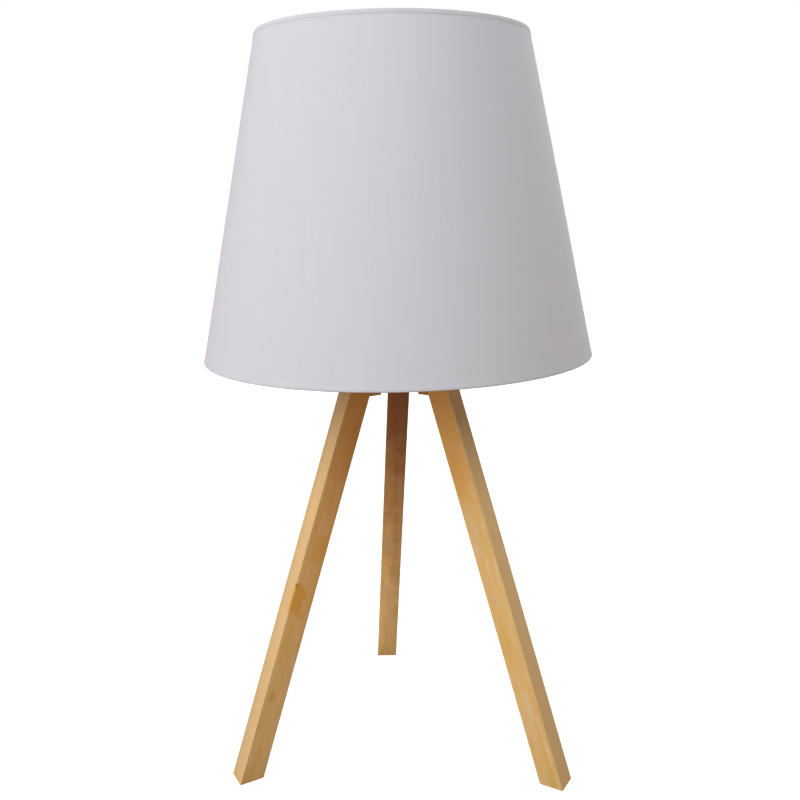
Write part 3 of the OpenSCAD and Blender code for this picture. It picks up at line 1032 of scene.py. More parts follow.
@dataclass(frozen=True)
class Film(Finish):
    """The smooth white film that stiffens the shade from inside."""

    colour: Triple = (0.86, 0.86, 0.84)
    warmer: Triple = (0.817, 0.817, 0.756)

    def looks(self, board: Board) -> dict[str, Value]:
        """Wires a slow drift of tone and a faint unevenness.

        Args:
            board: The material's tree.

        Returns:
            What goes to the shader's inputs, by name, with _ for a space.
        """
        place = in_millimetres(board)
        tone = mottled(board, place, patch=25.0, high=0.35)
        return {
            "Base_Color": board.blend(tone, rgba(self.colour), rgba(self.warmer)),
            "Roughness": board.spread(tone, 0.0, 0.35, 0.42, 0.55),
            "Normal": bump(board, board.noise(place, 0.9, 3.0), depth=0.03 * MM, strength=0.5),
        }


@dataclass(frozen=True)
class Coating(Finish):
    """Powder coat or moulded plastic: a colour, a gloss and a fine orange peel."""

    colour: Triple
    rough: float
    peel: float
    relief: float
    dust: float = 0.12
    dust_colour: Triple = (0.55, 0.53, 0.5)

    def looks(self, board: Board) -> dict[str, Value]:
        """Wires the colour's drift, the rubbed edges, the dust and the peel.

        Args:
            board: The material's tree.

        Returns:
            What goes to the shader's inputs, by name, with _ for a space.
        """
        place = in_millimetres(board)
        tone = mottled(board, place, patch=14.0, high=0.5)
        colour = board.blend(tone, rgba(self.colour), rgba(self.colour, 0.88))
        edges = board.times(worn(board, place, width=0.4 * MM, breakup=0.9), 0.45)
        colour = board.blend(edges, colour, rgba(self.colour, 0.95, 0.12))
        dusty = Dust().place(board, Place=place, Amount=self.dust)["Mask"]
        rough = board.spread(tone, 0.0, 0.5, self.rough, self.rough + 0.1)
        peel = board.noise(place, self.peel, 2.0)
        return {
            "Base_Color": board.blend(dusty, colour, rgba(self.dust_colour)),
            "Roughness": board.plus(rough, dusty),
            "Normal": bump(board, peel, depth=self.relief * MM, strength=0.6),
        }


@dataclass(frozen=True)
class Metal(Finish):
    """Turned, rolled or plated metal with fine tool marks and rubbed edges."""

    colour: Triple = (0.62, 0.62, 0.64)
    stain: Triple = (0.42, 0.41, 0.40)
    rough: float = 0.28
    marks: Triple = (0.4, 0.4, 9.0)

    def looks(self, board: Board) -> dict[str, Value]:
        """Wires the stains, the tool marks and the brighter edges.

        Args:
            board: The material's tree.

        Returns:
            What goes to the shader's inputs, by name, with _ for a space.
        """
        place = in_millimetres(board)
        tone = mottled(board, place, patch=6.0, high=0.75)
        colour = board.blend(tone, rgba(self.colour), rgba(self.stain))
        edges = worn(board, place, width=0.25 * MM, breakup=0.8)
        lines = board.noise(board.vector("MULTIPLY", place, self.marks), 1.0, 3.0)
        rough = board.spread(lines, 0.3, 0.7, self.rough - 0.06, self.rough + 0.1)
        return {
            "Base_Color": board.blend(edges, colour, rgba(self.colour, 1.25)),
            "Metallic": 1.0,
            "Roughness": board.times_plus(tone, 0.12, rough),
            "Normal": bump(board, lines, depth=0.01 * MM, strength=0.5),
        }


@dataclass(frozen=True)
class Stoneware(Finish):
    """Unglazed insulating ceramic with a fine speckle."""

    colour: Triple = (0.84, 0.81, 0.74)
    clay: Triple = (0.74, 0.70, 0.62)
    speckle: Triple = (0.5, 0.46, 0.4)

    def looks(self, board: Board) -> dict[str, Value]:
        """Wires the speckle and the pitted skin.

        Args:
            board: The material's tree.

        Returns:
            What goes to the shader's inputs, by name, with _ for a space.
        """
        place = in_millimetres(board)
        speck = board.spread(board.noise(place, 2.4, 2.0), 0.62, 0.72, 0.0, 0.5)
        tone = mottled(board, place, patch=8.0, high=0.3)
        colour = board.blend(tone, rgba(self.colour), rgba(self.clay))
        return {
            "Base_Color": board.blend(speck, colour, rgba(self.speckle)),
            "Roughness": board.spread(speck, 0.0, 0.5, 0.62, 0.8),
            "Normal": bump(board, speck, depth=-0.04 * MM, strength=0.8),
        }


@dataclass(frozen=True)
class FrostedSkin(Finish):
    """The matt white skin of an unlit opal bulb."""

    colour: Triple = (0.88, 0.875, 0.85)
    warmer: Triple = (0.86, 0.84, 0.79)

    def looks(self, board: Board) -> dict[str, Value]:
        """Wires the frost's grain and a faint warm cloud.

        Args:
            board: The material's tree.

        Returns:
            What goes to the shader's inputs, by name, with _ for a space.
        """
        place = in_millimetres(board)
        cloud = mottled(board, place, patch=18.0, high=0.5)
        frost = board.noise(place, 5.0, 2.0)
        return {
            "Base_Color": board.blend(cloud, rgba(self.colour), rgba(self.warmer)),
            "Roughness": board.spread(frost, 0.3, 0.7, 0.3, 0.42),
            "Normal": bump(board, frost, depth=0.012 * MM, strength=0.5),
            "Subsurface_Weight": 0.25,
            "Subsurface_Radius": (4 * MM, 4 * MM, 3 * MM),
        }


@dataclass(frozen=True)
class Paper(Finish):
    """The studio's paper: bright and pale to the camera, and a duller, warm one to the light."""

    colour: Triple = (0.4, 0.4, 0.4)
    cloud: Triple = (0.38, 0.38, 0.38)
    glow: float = 0.86
    bounce: Triple = (0.30, 0.215, 0.15)

    def surface(self, board: Board) -> Socket:
        """Puts out the paper for the camera and what it bounces for every other ray."""
        cast = board.node("BsdfDiffuse", Color=rgba(self.bounce)).outputs[0]
        return board.by_camera(cast, super().surface(board))

    def looks(self, board: Board) -> dict[str, Value]:
        """Wires a faint cloud and the glow.

        Args:
            board: The material's tree.

        Returns:
            What goes to the shader's inputs, by name, with _ for a space.
        """
        place = board.node("TexCoord").outputs["Object"]
        tone = board.spread(board.noise(place, 3.0, 2.0), 0.3, 0.7, 0.0, 1.0)
        return {
            "Base_Color": board.blend(tone, rgba(self.colour), rgba(self.cloud)),
            "Roughness": 0.9,
            "Specular_IOR_Level": 0.1,
            "Emission_Color": rgba(WHITE),
            "Emission_Strength": self.glow,
        }


WHITE_WIRE = Coating("white_powder_coat", (0.84, 0.84, 0.82), rough=0.36, peel=0.9, relief=0.03)
WHITE_PLASTIC = Coating("white_moulding", (0.83, 0.83, 0.80), rough=0.33, peel=1.6, relief=0.012)
GREY_PLASTIC = Coating("grey_moulding", (0.075, 0.075, 0.08), rough=0.5, peel=2.2, relief=0.03)
BLACK_GLASS = Coating(
    "black_insulator", (0.012, 0.012, 0.014), rough=0.12, peel=0.6, relief=0.008, dust=0.05
)
BOARD_WHITE = Coating("board_white", (0.8, 0.8, 0.78), rough=0.3, peel=2.0, relief=0.01)
STEEL = Metal("zinc_steel")
THREADED = Metal("turned_zinc", marks=(0.3, 0.3, 14.0), rough=0.32)
BRASS = Metal("bright_brass", (0.72, 0.48, 0.19), stain=(0.40, 0.25, 0.10), rough=0.25)
CERAMIC = Stoneware("ceramic_body")
OPAL = FrostedSkin("opal_skin")
LINER = Film("liner_film")
LINEN = Linen("shade_linen")
BINDING_LINEN = Linen("binding_linen", shift=(210.0, 95.0, 0.0))
PAPER = Paper("studio_paper")
# The hub's wood is much darker than the legs' wood: painted shade, for the hub's place deep under
# the lampshade.
HUB_WOOD_PAINTED_SHADE = Timber(
    "wood_hub_painted_shade",
    (0.43, 0.245, 0.105),
    (0.25, 0.12, 0.045),
    pith=(9.0, 14.0, 0.0),
    ring_gap=2.2,
    painted_shade_share=0.0,
)


# ---------------------------------------------------------------------------------------
# Sub-assemblies


def add_to(piece: Piece, finish: Finish, body: str, slot: str, *nodes: str) -> None:
    """Dresses a finished piece, sets it into the frame and reports it.

    Args:
        piece: The piece, with its place in its mesh.
        finish: The finish that it gets.
        body: The body that it rides on.
        slot: Not used.
        nodes: The CAD nodes that it stands for.
    """
    finish.cover(piece)
    if nodes:
        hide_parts(*nodes)
    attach(piece, body)
    LOG.info("%s: %d faces, rides on %s", piece.name, len(piece.data.polygons), body)


def add_softened(
    node: str, width: float, finish: Finish, body: str, slot: str, crease: float = CREASE
) -> None:
    """Sets a softened copy of a CAD node into the frame in the node's place.

    Args:
        node: The CAD node.
        width: The width of its rounded edges.
        finish: The finish that it gets.
        body: The body that it rides on.
        slot: Passed on to add_to, which does not use it.
        crease: The least angle of an edge that is rounded, in degrees.
    """
    add_to(softened(node, width, crease), finish, body, slot, node)


@dataclass(frozen=True)
class Leg:
    """Where one leg stands and how its wood looks."""

    node: str
    azimuth: float
    turn: float
    wood: Timber


@dataclass
class Tripod:
    """Three splayed legs and the hub that they are bolted to."""

    width: float = 15 * MM
    foot_r: float = 106 * MM
    seat_r: float = 12 * MM
    bolt_drop: float = 22 * MM
    bolt_hole_r: float = 3.3 * MM
    arris: float = 0.7 * MM
    hub_edge: float = 0.5 * MM
    hub_crease: float = 25.0
    body: str = "stand"
    stand_h: float = field(init=False)
    splay: float = field(init=False)

    def __post_init__(self) -> None:
        """Takes the height from the frame and works out the splay."""
        self.stand_h = heights("hub_block")[1]
        self.splay = math.atan((self.foot_r - self.seat_r) / self.stand_h)

    def legs(self) -> list[Leg]:
        """Lists the three legs, each from its own piece of wood.

        Returns:
            The rear leg, the left and the right.
        """
        # In each leg's wood, deep is painted shade towards the top under the lampshade, and outer
        # is painted light on the outer face.
        rear = Timber(
            "wood_rear_leg",
            (0.95, 0.665, 0.31),
            (0.86, 0.54, 0.18),
            pith=(-45.0, 60.0, 0.0),
            deep=(0.30, 0.105, 0.03),
            painted_shade_share=0.95,
            painted_shade_from=-230.0,
            painted_shade_to=-60.0,
        )
        left = Timber(
            "wood_left_leg",
            pith=(30.0, -70.0, 40.0),
            deep=(0.66, 0.29, 0.07),
            outer=(0.69, 0.475, 0.24),
            stains=(
                Stain((14.0, 7.5, -158.5), (8.5, 3.3, 10.0), 0.95, (0.73, 0.36, 0.062), -0.35),
                Stain((2.0, 7.5, -124.0), (9.0, 3.3, 9.5), 0.75, (0.73, 0.38, 0.07), 0.3),
                Stain((14.8, 7.5, -150.0), (1.5, 1.4, 1.3), 0.5, (0.16, 0.07, 0.02)),
                Stain((10.5, 7.5, -224.0), (1.6, 2.0, 4.2), 0.35, (0.50, 0.24, 0.08)),
            ),
        )
        right = Timber(
            "wood_right_leg",
            (0.82, 0.585, 0.265),
            (0.66, 0.385, 0.105),
            pith=(52.0, 33.0, 80.0),
            figure=0.9,
            deep=(0.80, 0.40, 0.075),
            painted_shade_from=-120.0,
            painted_shade_to=-45.0,
            outer=(0.70, 0.47, 0.22),
            stains=(
                Stain((4.0, -7.5, -76.0), (5.0, 3.3, 16.0), 0.45, (0.72, 0.36, 0.07)),
                Stain((8.0, -7.5, -228.0), (1.8, 3.3, 9.0), 0.45, (0.78, 0.60, 0.42)),
            ),
        )
        return [
            Leg("leg_rear", 90, 3.8, rear),
            Leg("leg_front_left", 210, -1.8, left),
            Leg("leg_front_right", 330, -1.1, right),
        ]

    def place(self, leg: Leg) -> Matrix:
        """Works out a leg's own axes.

        Args:
            leg: The leg.

        Returns:
            The axes at the leg's bolt: X out through the leg from its inner face, Z up it.
        """
        return (
            turned(leg.azimuth, "Z")
            @ Matrix.Translation((self.seat_r, 0, self.stand_h))
            @ Matrix.Rotation(-self.splay, 4, "Y")
            @ Matrix.Translation((0, 0, -self.bolt_drop))
            @ turned(90, "Y")
            @ turned(leg.turn, "Z")
            @ turned(-90, "Y")
        )

    def bar(self, leg: Leg) -> Piece:
        """Models one leg as a square bar, cut level at both ends, drilled, its arrises eased.

        Args:
            leg: The leg.

        Returns:
            The bar.
        """
        axes = self.place(leg)
        bpy.ops.mesh.primitive_cube_add(size=1)
        bar = named(f"{leg.node}_bar")
        size = Matrix.Diagonal((self.width, self.width, 2 * self.stand_h, 1))
        bar.matrix_world = axes @ Matrix.Translation((self.width / 2, 0, 0)) @ size
        settle(bar)
        with editing(bar):
            for height, side in ((0.0, "clear_inner"), (self.stand_h, "clear_outer")):
                bpy.ops.mesh.select_all(action="SELECT")
                bpy.ops.mesh.bisect(
                    plane_co=(0, 0, height), plane_no=(0, 0, 1), use_fill=True, **{side: True}
                )
        self.drill(bar, axes)
        round_edges(bar, self.arris)
        return bar

    def drill(self, bar: Piece, axes: Matrix) -> None:
        """Drills the bolt's hole through a leg.

        Args:
            bar: The leg.
            axes: The leg's own axes.
        """
        bpy.ops.mesh.primitive_cylinder_add(
            vertices=32, radius=self.bolt_hole_r, depth=4 * self.width
        )
        drill = named("drill")
        drill.matrix_world = axes @ turned(90, "Y")
        settle(drill)
        finish_with(bar, "BOOLEAN", object=drill, operation="DIFFERENCE", solver="EXACT")
        bpy.data.objects.remove(drill)

    def build(self) -> None:
        """Builds the legs and the hub."""
        for leg in self.legs():
            axes = tuple(tuple(row) for row in self.place(leg))
            add_to(self.bar(leg), replace(leg.wood, axes=axes), self.body, "wood", leg.node)
        add_softened("hub_block", self.hub_edge, HUB_WOOD_PAINTED_SHADE, self.body, "wood", self.hub_crease)


@dataclass
class Hardware:
    """The bolts, inserts, threaded tube and the parts on it."""

    body: str = "stand"
    edge: float = 0.25 * MM
    bush_edge: float = 0.5 * MM

    def build(self) -> None:
        """Softens the parts whose edges show and dresses the rest."""
        for node in ("leg_bolts", "leg_bolt_washers", "tube_nuts", "tube_washers"):
            add_softened(node, self.edge, STEEL, self.body, "steel")
        add_softened("cord_outlet_bush", self.bush_edge, GREY_PLASTIC, self.body, "grey_plastic")
        THREADED.cover_nodes("threaded_tube")
        BRASS.cover_nodes("insert_nuts")


@dataclass
class Lampholder:
    """The cap, the threaded skirt, the contacts and the screw shell."""

    cap_edge: float = 0.25 * MM
    flange_r: float = 26 * MM
    flange_t: float = 3 * MM
    skirt_r: float = 19.5 * MM
    bore_r: float = 17.4 * MM
    lip_r: float = 14.8 * MM
    lip_t: float = 2.5 * MM
    round_r: float = 0.6 * MM
    skirt_pitch: float = 2.5 * MM
    skirt_depth: float = 0.7 * MM
    shell_r: float = 13.5 * MM
    shell_t: float = 0.5 * MM
    shell_pitch: float = 3.6 * MM
    shell_swell: float = 0.9 * MM
    plain_foot: float = MM
    plain_rim: float = 2 * MM
    fine: float = 0.3 * MM
    body: str = "stand"

    def skirt(self) -> Piece:
        """Models the skirt: its flange, the thread up its outside and the turned-in lip.

        Returns:
            The skirt.
        """
        low, high = heights("lampholder_skirt")
        seat = low + self.flange_t
        r = self.round_r
        outline = [
            (self.bore_r, low),
            *corner((self.flange_r - r, low + r), r, -90, 0),
            *corner((self.flange_r - r, seat - r), r, 0, 90),
            *wall(self.skirt_r, seat, high - r, self.fine),
            *corner((self.skirt_r - r, high - r), r, 0, 90)[1:],
            *corner((self.lip_r + r, high - r), r, 90, 180),
            (self.lip_r, high - self.lip_t),
            (self.bore_r, high - self.lip_t),
        ]
        skirt = spun("lampholder_skirt_threaded", outline, 120)
        low, high = seat + self.plain_foot, high - 2 * r
        Thread(low, high, self.skirt_pitch, self.skirt_depth).cut(skirt, [self.skirt_r])
        return skirt

    def shell(self) -> Piece:
        """Models the screw shell as thin sheet rolled into a thread, with its rim turned out.

        Returns:
            The shell.
        """
        low, high = heights("screw_shell")
        outer = self.shell_r + self.shell_t
        rim_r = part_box("screw_shell")[1].x
        outline = [
            *wall(self.shell_r, high, low, self.fine),
            *wall(outer, low, high - self.shell_t, self.fine),
            (rim_r, high - self.shell_t),
            (rim_r, high),
        ]
        shell = spun("screw_shell_rolled", outline)
        low, high = low + self.plain_foot, high - self.plain_rim
        Thread(low, high, self.shell_pitch, -self.shell_swell).cut(shell, [self.shell_r, outer])
        return shell

    def build(self) -> None:
        """Builds the lampholder's pieces and dresses its inner parts."""
        add_softened("lampholder_cap", self.cap_edge, WHITE_PLASTIC, self.body, "white_plastic")
        add_to(self.skirt(), WHITE_PLASTIC, self.body, "white_plastic", "lampholder_skirt")
        add_to(self.shell(), BRASS, self.body, "brass", "screw_shell")
        CERAMIC.cover_nodes("contact_block")
        BRASS.cover_nodes("centre_contact", "side_contact")
        STEEL.cover_nodes("terminal_screws", "cap_lock_screw")


class Rim(Enum):
    """The shade's two rims, and the way from each into the shade."""

    BOTTOM = 1
    TOP = -1


@dataclass(frozen=True)
class Ripple:
    """One standing wave of the glued cloth, which leans as it goes up and arches in height."""

    share: float
    count: int
    lean: float
    start: float
    arch: float
    arch_start: float

    def height(self, azimuth: float, up: float) -> float:
        """Says how far it stands out at an azimuth and a share of the shade's height."""
        crest = math.sin(self.count * azimuth + self.lean * up + self.start)
        return self.share * crest * math.sin(self.arch * up + self.arch_start)


@dataclass
class Shade:
    """The tapered drum: cloth on a stiff liner, bound round two wire rings on a fitter."""

    bottom_r: float = 125 * MM
    top_r: float = 85 * MM
    cloth_t: float = 0.5 * MM
    liner_t: float = 0.5 * MM
    tape_t: float = 0.4 * MM
    tape_w: float = 3 * MM
    tape_tuck: float = 6 * MM
    tape_show: float = 0.16 * MM
    rim_ease: float = 0.7 * MM
    wire_r: float = 1.5 * MM
    wire_gap: float = 0.05 * MM
    lap_w: float = 9 * MM
    lap_t: float = 0.3 * MM
    lap_edge: float = 0.105 * MM
    lap_crease: float = 50.0
    wave: float = 0.1 * MM
    ripples: tuple[Ripple, ...] = (
        Ripple(share=0.6, count=3, lean=4.1, start=0.0, arch=math.pi, arch_start=0.0),
        Ripple(share=0.4, count=11, lean=-2.3, start=1.7, arch=TURN, arch_start=0.6),
    )
    pucker: float = 0.035 * MM
    puckers: int = 97
    pucker_groups: int = 13
    edge_wave: float = 0.05 * MM
    edge_waves: int = 41
    ring_edge: float = 0.3 * MM
    arm_edge: float = 0.15 * MM
    weld_r: float = 1.9 * MM
    weld_sink: float = 0.2 * MM
    weld_height: float = 0.62
    weld_swell: float = 0.12
    weld_crease: float = 60.0
    arm_azimuths: tuple[float, ...] = (90, 210, 330)
    steps: int = 240
    rows: int = 30
    lap_columns: int = 6
    front: float = -90.0
    body: str = "shade"
    low: float = field(init=False)
    high: float = field(init=False)
    taper: float = field(init=False)
    lean: float = field(init=False)

    def __post_init__(self) -> None:
        """Takes the rims' heights from the frame and works out the wall's lean."""
        self.low = heights("bottom_binding")[0]
        self.high = heights("top_binding")[1]
        self.taper = (self.bottom_r - self.top_r) / (self.high - self.low)
        self.lean = math.atan(self.taper)

    def radius(self, z: float, depth: float = 0.0) -> float:
        """Works out the wall's radius.

        Args:
            z: A height.
            depth: How far below the cloth's face, square to it.

        Returns:
            The radius there.
        """
        at_rim = self.bottom_r - (self.tape_t + depth) / math.cos(self.lean)
        return at_rim - (z - self.low) * self.taper

    def ripple(self, azimuth: float, z: float) -> float:
        """Works out how far the wall stands proud of a true cone, as glued cloth does.

        Args:
            azimuth: Where round the shade, in radians.
            z: The height.

        Returns:
            The distance outwards.
        """
        up = (z - self.low) / (self.high - self.low)
        return self.wave * sum(ripple.height(azimuth, up) for ripple in self.ripples)

    def from_front(self, point: Vector) -> float:
        """Returns a point's azimuth from the shade's front, from minus half a turn to half."""
        turn = math.atan2(point.y, point.x) - math.radians(self.front)
        return (turn + math.pi) % TURN - math.pi

    def chart(self, piece: Piece, lay: Callable[[bpy.types.MeshVertex, float], Point]) -> None:
        """Gives a piece the flat map of its cloth.

        Args:
            piece: The piece.
            lay: Takes a vertex and its azimuth from the front, and gives its place on the map.
        """
        chart = piece.data.uv_layers.new(name=CLOTH_MAP)
        for face in piece.data.polygons:
            middle = self.from_front(face.center)
            for loop in face.loop_indices:
                vertex = piece.data.vertices[piece.data.loops[loop].vertex_index]
                around = near_turn(self.from_front(vertex.co), middle)
                chart.data[loop].uv = lay(vertex, around)

    def lay_flat(self, piece: Piece) -> None:
        """Gives a piece of the wall the map of the cloth before it was bent round.

        Args:
            piece: The piece, whose wall follows the cone.
        """
        turn_in = math.sin(self.lean)

        def on_sector(vertex: bpy.types.MeshVertex, around: float) -> Point:
            """Finds a vertex on the ring sector that the cloth is cut as."""
            slant = math.hypot(vertex.co.x, vertex.co.y) / turn_in
            return slant * math.sin(around * turn_in), slant * math.cos(around * turn_in)

        self.chart(piece, on_sector)

    def lay_along(self, tape: Piece, outline: Outline) -> None:
        """Gives a binding the map of its tape: round the rim one way, along the fold the other.

        Args:
            tape: The binding, as it was spun.
            outline: The section that it was spun from.
        """
        reach = [0.0]
        for start, end in zip(outline, outline[1:]):
            reach.append(reach[-1] + math.dist(start, end))
        finder = KDTree(len(outline))
        for index, (radius, z) in enumerate(outline):
            finder.insert((radius, z, 0.0), index)
        finder.balance()
        across = [
            reach[finder.find((math.hypot(v.co.x, v.co.y), v.co.z, 0.0))[1]]
            for v in tape.data.vertices
        ]
        rim = outline[0][0]
        self.chart(tape, lambda vertex, around: (around * rim, across[vertex.index]))

    def layer(self, name: str, depth: float, thick: float, rippled: bool) -> Piece:
        """Models one layer of the wall.

        Args:
            name: The piece's name.
            depth: How far its outer face lies below the cloth's face.
            thick: Its thickness.
            rippled: Whether it has the glued cloth's ripple.

        Returns:
            The layer.
        """
        low, high = self.low + self.tape_t, self.high - self.tape_t
        levels = [low + (high - low) * i / self.rows for i in range(self.rows + 1)]
        outline = [(self.radius(z, depth), z) for z in levels]
        outline += [(self.radius(z, depth + thick), z) for z in reversed(levels)]
        layer = spun(name, outline, self.steps)
        if rippled:
            push(layer, lambda radius, azimuth, z: (self.ripple(azimuth, z), 0.0))
        self.lay_flat(layer)
        return layer

    def lap(self) -> Piece:
        """Models the strip where the cloth's end is glued over its start, at the back.

        Returns:
            The strip, which stands proud of the cloth and ends short of both bindings.
        """
        bpy.ops.mesh.primitive_grid_add(
            x_subdivisions=self.lap_columns, y_subdivisions=self.rows, size=2
        )
        strip = named("shade_cloth_lap")
        for vertex in strip.data.vertices:
            share_x, share_z = (vertex.co.x + 1) / 2, (vertex.co.y + 1) / 2
            z = self.low + self.tape_w + (self.high - self.low - 2 * self.tape_w) * share_z
            radius = self.radius(z)
            azimuth = math.radians(self.front + 180) + (share_x - 0.5) * self.lap_w / radius
            radius += self.ripple(azimuth, z)
            vertex.co = (radius * math.cos(azimuth), radius * math.sin(azimuth), z)
        strip.data.update()
        with editing(strip):
            bpy.ops.mesh.select_all(action="SELECT")
            bpy.ops.mesh.normals_make_consistent(inside=False)
            if self.faces_inwards(strip):
                bpy.ops.mesh.flip_normals()
        finish_with(strip, "SOLIDIFY", thickness=self.lap_t, offset=1.0)
        round_edges(strip, self.lap_edge, 2, self.lap_crease)
        self.lay_flat(strip)
        return strip

    def faces_inwards(self, strip: Piece) -> bool:
        """Says whether an open strip's faces point to the axis."""
        mesh = bmesh.from_edit_mesh(strip.data)
        return sum(f.normal.dot(Vector((*f.calc_center_median().xy, 0))) for f in mesh.faces) < 0

    def wrap_outline(self, rim: Rim) -> Outline:
        """Draws the section of a binding that folds round a rim and its wire.

        Args:
            rim: The rim.

        Returns:
            The closed outline, as radius and height.
        """
        side = rim.value
        base = self.low if rim is Rim.BOTTOM else self.high
        seat = self.wire_r + self.wire_gap
        tape = self.tape_show / math.cos(self.lean)
        wire_z = base + side * (self.tape_t + seat)
        layers = self.cloth_t + self.liner_t
        centre = (self.radius(wire_z, layers) - seat / math.cos(self.lean), wire_z)
        edge_z = base + side * self.tape_w
        tuck_z = wire_z + side * self.tape_tuck
        ends = [(self.radius(z, layers), z) for z in (tuck_z, tuck_z - side * 2 * self.tape_t)]
        eased = (self.radius(base) + tape - self.rim_ease, base + side * self.rim_ease)
        inside_z = base + side * self.tape_t
        return [
            (self.radius(edge_z), edge_z),
            (self.radius(edge_z) + 0.4 * tape, edge_z),
            (self.radius(edge_z) + tape, edge_z - side * self.tape_t),
            *corner(eased, self.rim_ease, 0, -90 * side, 5),
            *self.wrap(centre, seat + self.tape_t, side, ends[0]),
            *ends,
            *reversed(self.wrap(centre, seat, side, ends[1])),
            (self.radius(inside_z), inside_z),
        ]

    def wrap(self, centre: Point, r: float, side: int, end: Point) -> Outline:
        """Draws a strip's way round a wire, up to where it leaves for a point on the liner.

        Args:
            centre: The wire's centre.
            r: The strip's distance from it.
            side: The way into the shade, 1 for up.
            end: The point that the strip goes to.

        Returns:
            The way's points.
        """
        off_r, off_z = end[0] - centre[0], side * (end[1] - centre[1])
        spare = math.atan2(off_z, off_r) + math.acos(r / math.hypot(off_r, off_z))
        return corner(centre, r, -90 * side, (math.degrees(spare) - 360) * side, 10)

    def binding(self, name: str, rim: Rim) -> Piece:
        """Models a binding, with the faint puckers that a tape pulled round a rim has.

        Args:
            name: The piece's name.
            rim: The rim that it binds.

        Returns:
            The binding.
        """
        outline = self.wrap_outline(rim)
        binding = spun(name, outline, 2 * self.steps)
        self.lay_along(binding, outline)

        def puckered(radius: float, azimuth: float, z: float) -> Point:
            """Draws in a point of the outside and waves the free edge, and leaves the rest."""
            if radius < self.radius(z):
                return (0.0, 0.0)
            groups = math.sin(self.pucker_groups * azimuth + 0.8)
            beat = math.sin(self.puckers * azimuth) * groups
            up = self.edge_wave * math.sin(self.edge_waves * azimuth + 2.2) * self.free(z)
            return (-self.pucker * (1 + beat), up)

        push(binding, puckered)
        return binding

    def free(self, z: float) -> float:
        """Says how near a height is to a binding's free edge, from 0 to 1."""
        depth = min(z - self.low, self.high - z)
        return min(1.0, max(0.0, depth / self.tape_w)) ** 2

    def weld(self, name: str, place: Vector) -> Piece:
        """Models a small weld bead as a squashed, uneven drop.

        Args:
            name: The piece's name.
            place: Its middle.

        Returns:
            The bead.
        """
        bpy.ops.mesh.primitive_uv_sphere_add(
            segments=24, ring_count=12, radius=self.weld_r, location=place
        )
        bead = named(name)
        settle(bead)
        for vertex in bead.data.vertices:
            off = vertex.co - place
            lobes = math.sin(5 * math.atan2(off.y, off.x)) * math.cos(3 * off.z / self.weld_r)
            swell = 1 + self.weld_swell * lobes
            vertex.co = place + Vector((off.x * swell, off.y * swell, self.weld_height * off.z))
        smooth(bead, self.weld_crease)
        return bead

    def fitter(self) -> None:
        """Softens the fitter's ring, runs the arms on to it and welds them."""
        add_softened("fitter_ring", self.ring_edge, WHITE_WIRE, self.body, "white_wire")
        add_softened("fitter_arms", self.arm_edge, WHITE_WIRE, self.body, "white_wire")
        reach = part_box("fitter_ring")[1].x - self.weld_sink
        level = sum(heights("fitter_ring")) / 2
        for number, azimuth in enumerate(self.arm_azimuths, 1):
            angle = math.radians(azimuth)
            place = Vector((reach * math.cos(angle), reach * math.sin(angle), level))
            bead = self.weld(f"fitter_weld_{number}", place)
            add_to(bead, WHITE_WIRE, self.body, "white_wire")
        WHITE_WIRE.cover_nodes("bottom_wire_ring", "top_wire_ring")

    def build(self) -> None:
        """Builds the shade."""
        cloth = self.layer("shade_cloth", 0.0, self.cloth_t, True)
        liner = self.layer("shade_liner_film", self.cloth_t, self.liner_t, False)
        seam = self.lap()
        bottom = self.binding("bottom_binding_tape", Rim.BOTTOM)
        top = self.binding("top_binding_tape", Rim.TOP)
        add_to(cloth, LINEN, self.body, "linen", "shade_fabric")
        add_to(liner, LINER, self.body, "liner", "shade_liner")
        add_to(seam, LINEN, self.body, "linen")
        add_to(bottom, BINDING_LINEN, self.body, "linen", "bottom_binding")
        add_to(top, BINDING_LINEN, self.body, "linen", "top_binding")
        self.fitter()


@dataclass
class ShadeRing:
    """The ring that clamps the shade on the lampholder."""

    edge: float = 0.35 * MM
    body: str = "shade_ring"

    def build(self) -> None:
        """Softens the ring and dresses it."""
        add_softened("shade_ring", self.edge, WHITE_PLASTIC, self.body, "white_plastic")


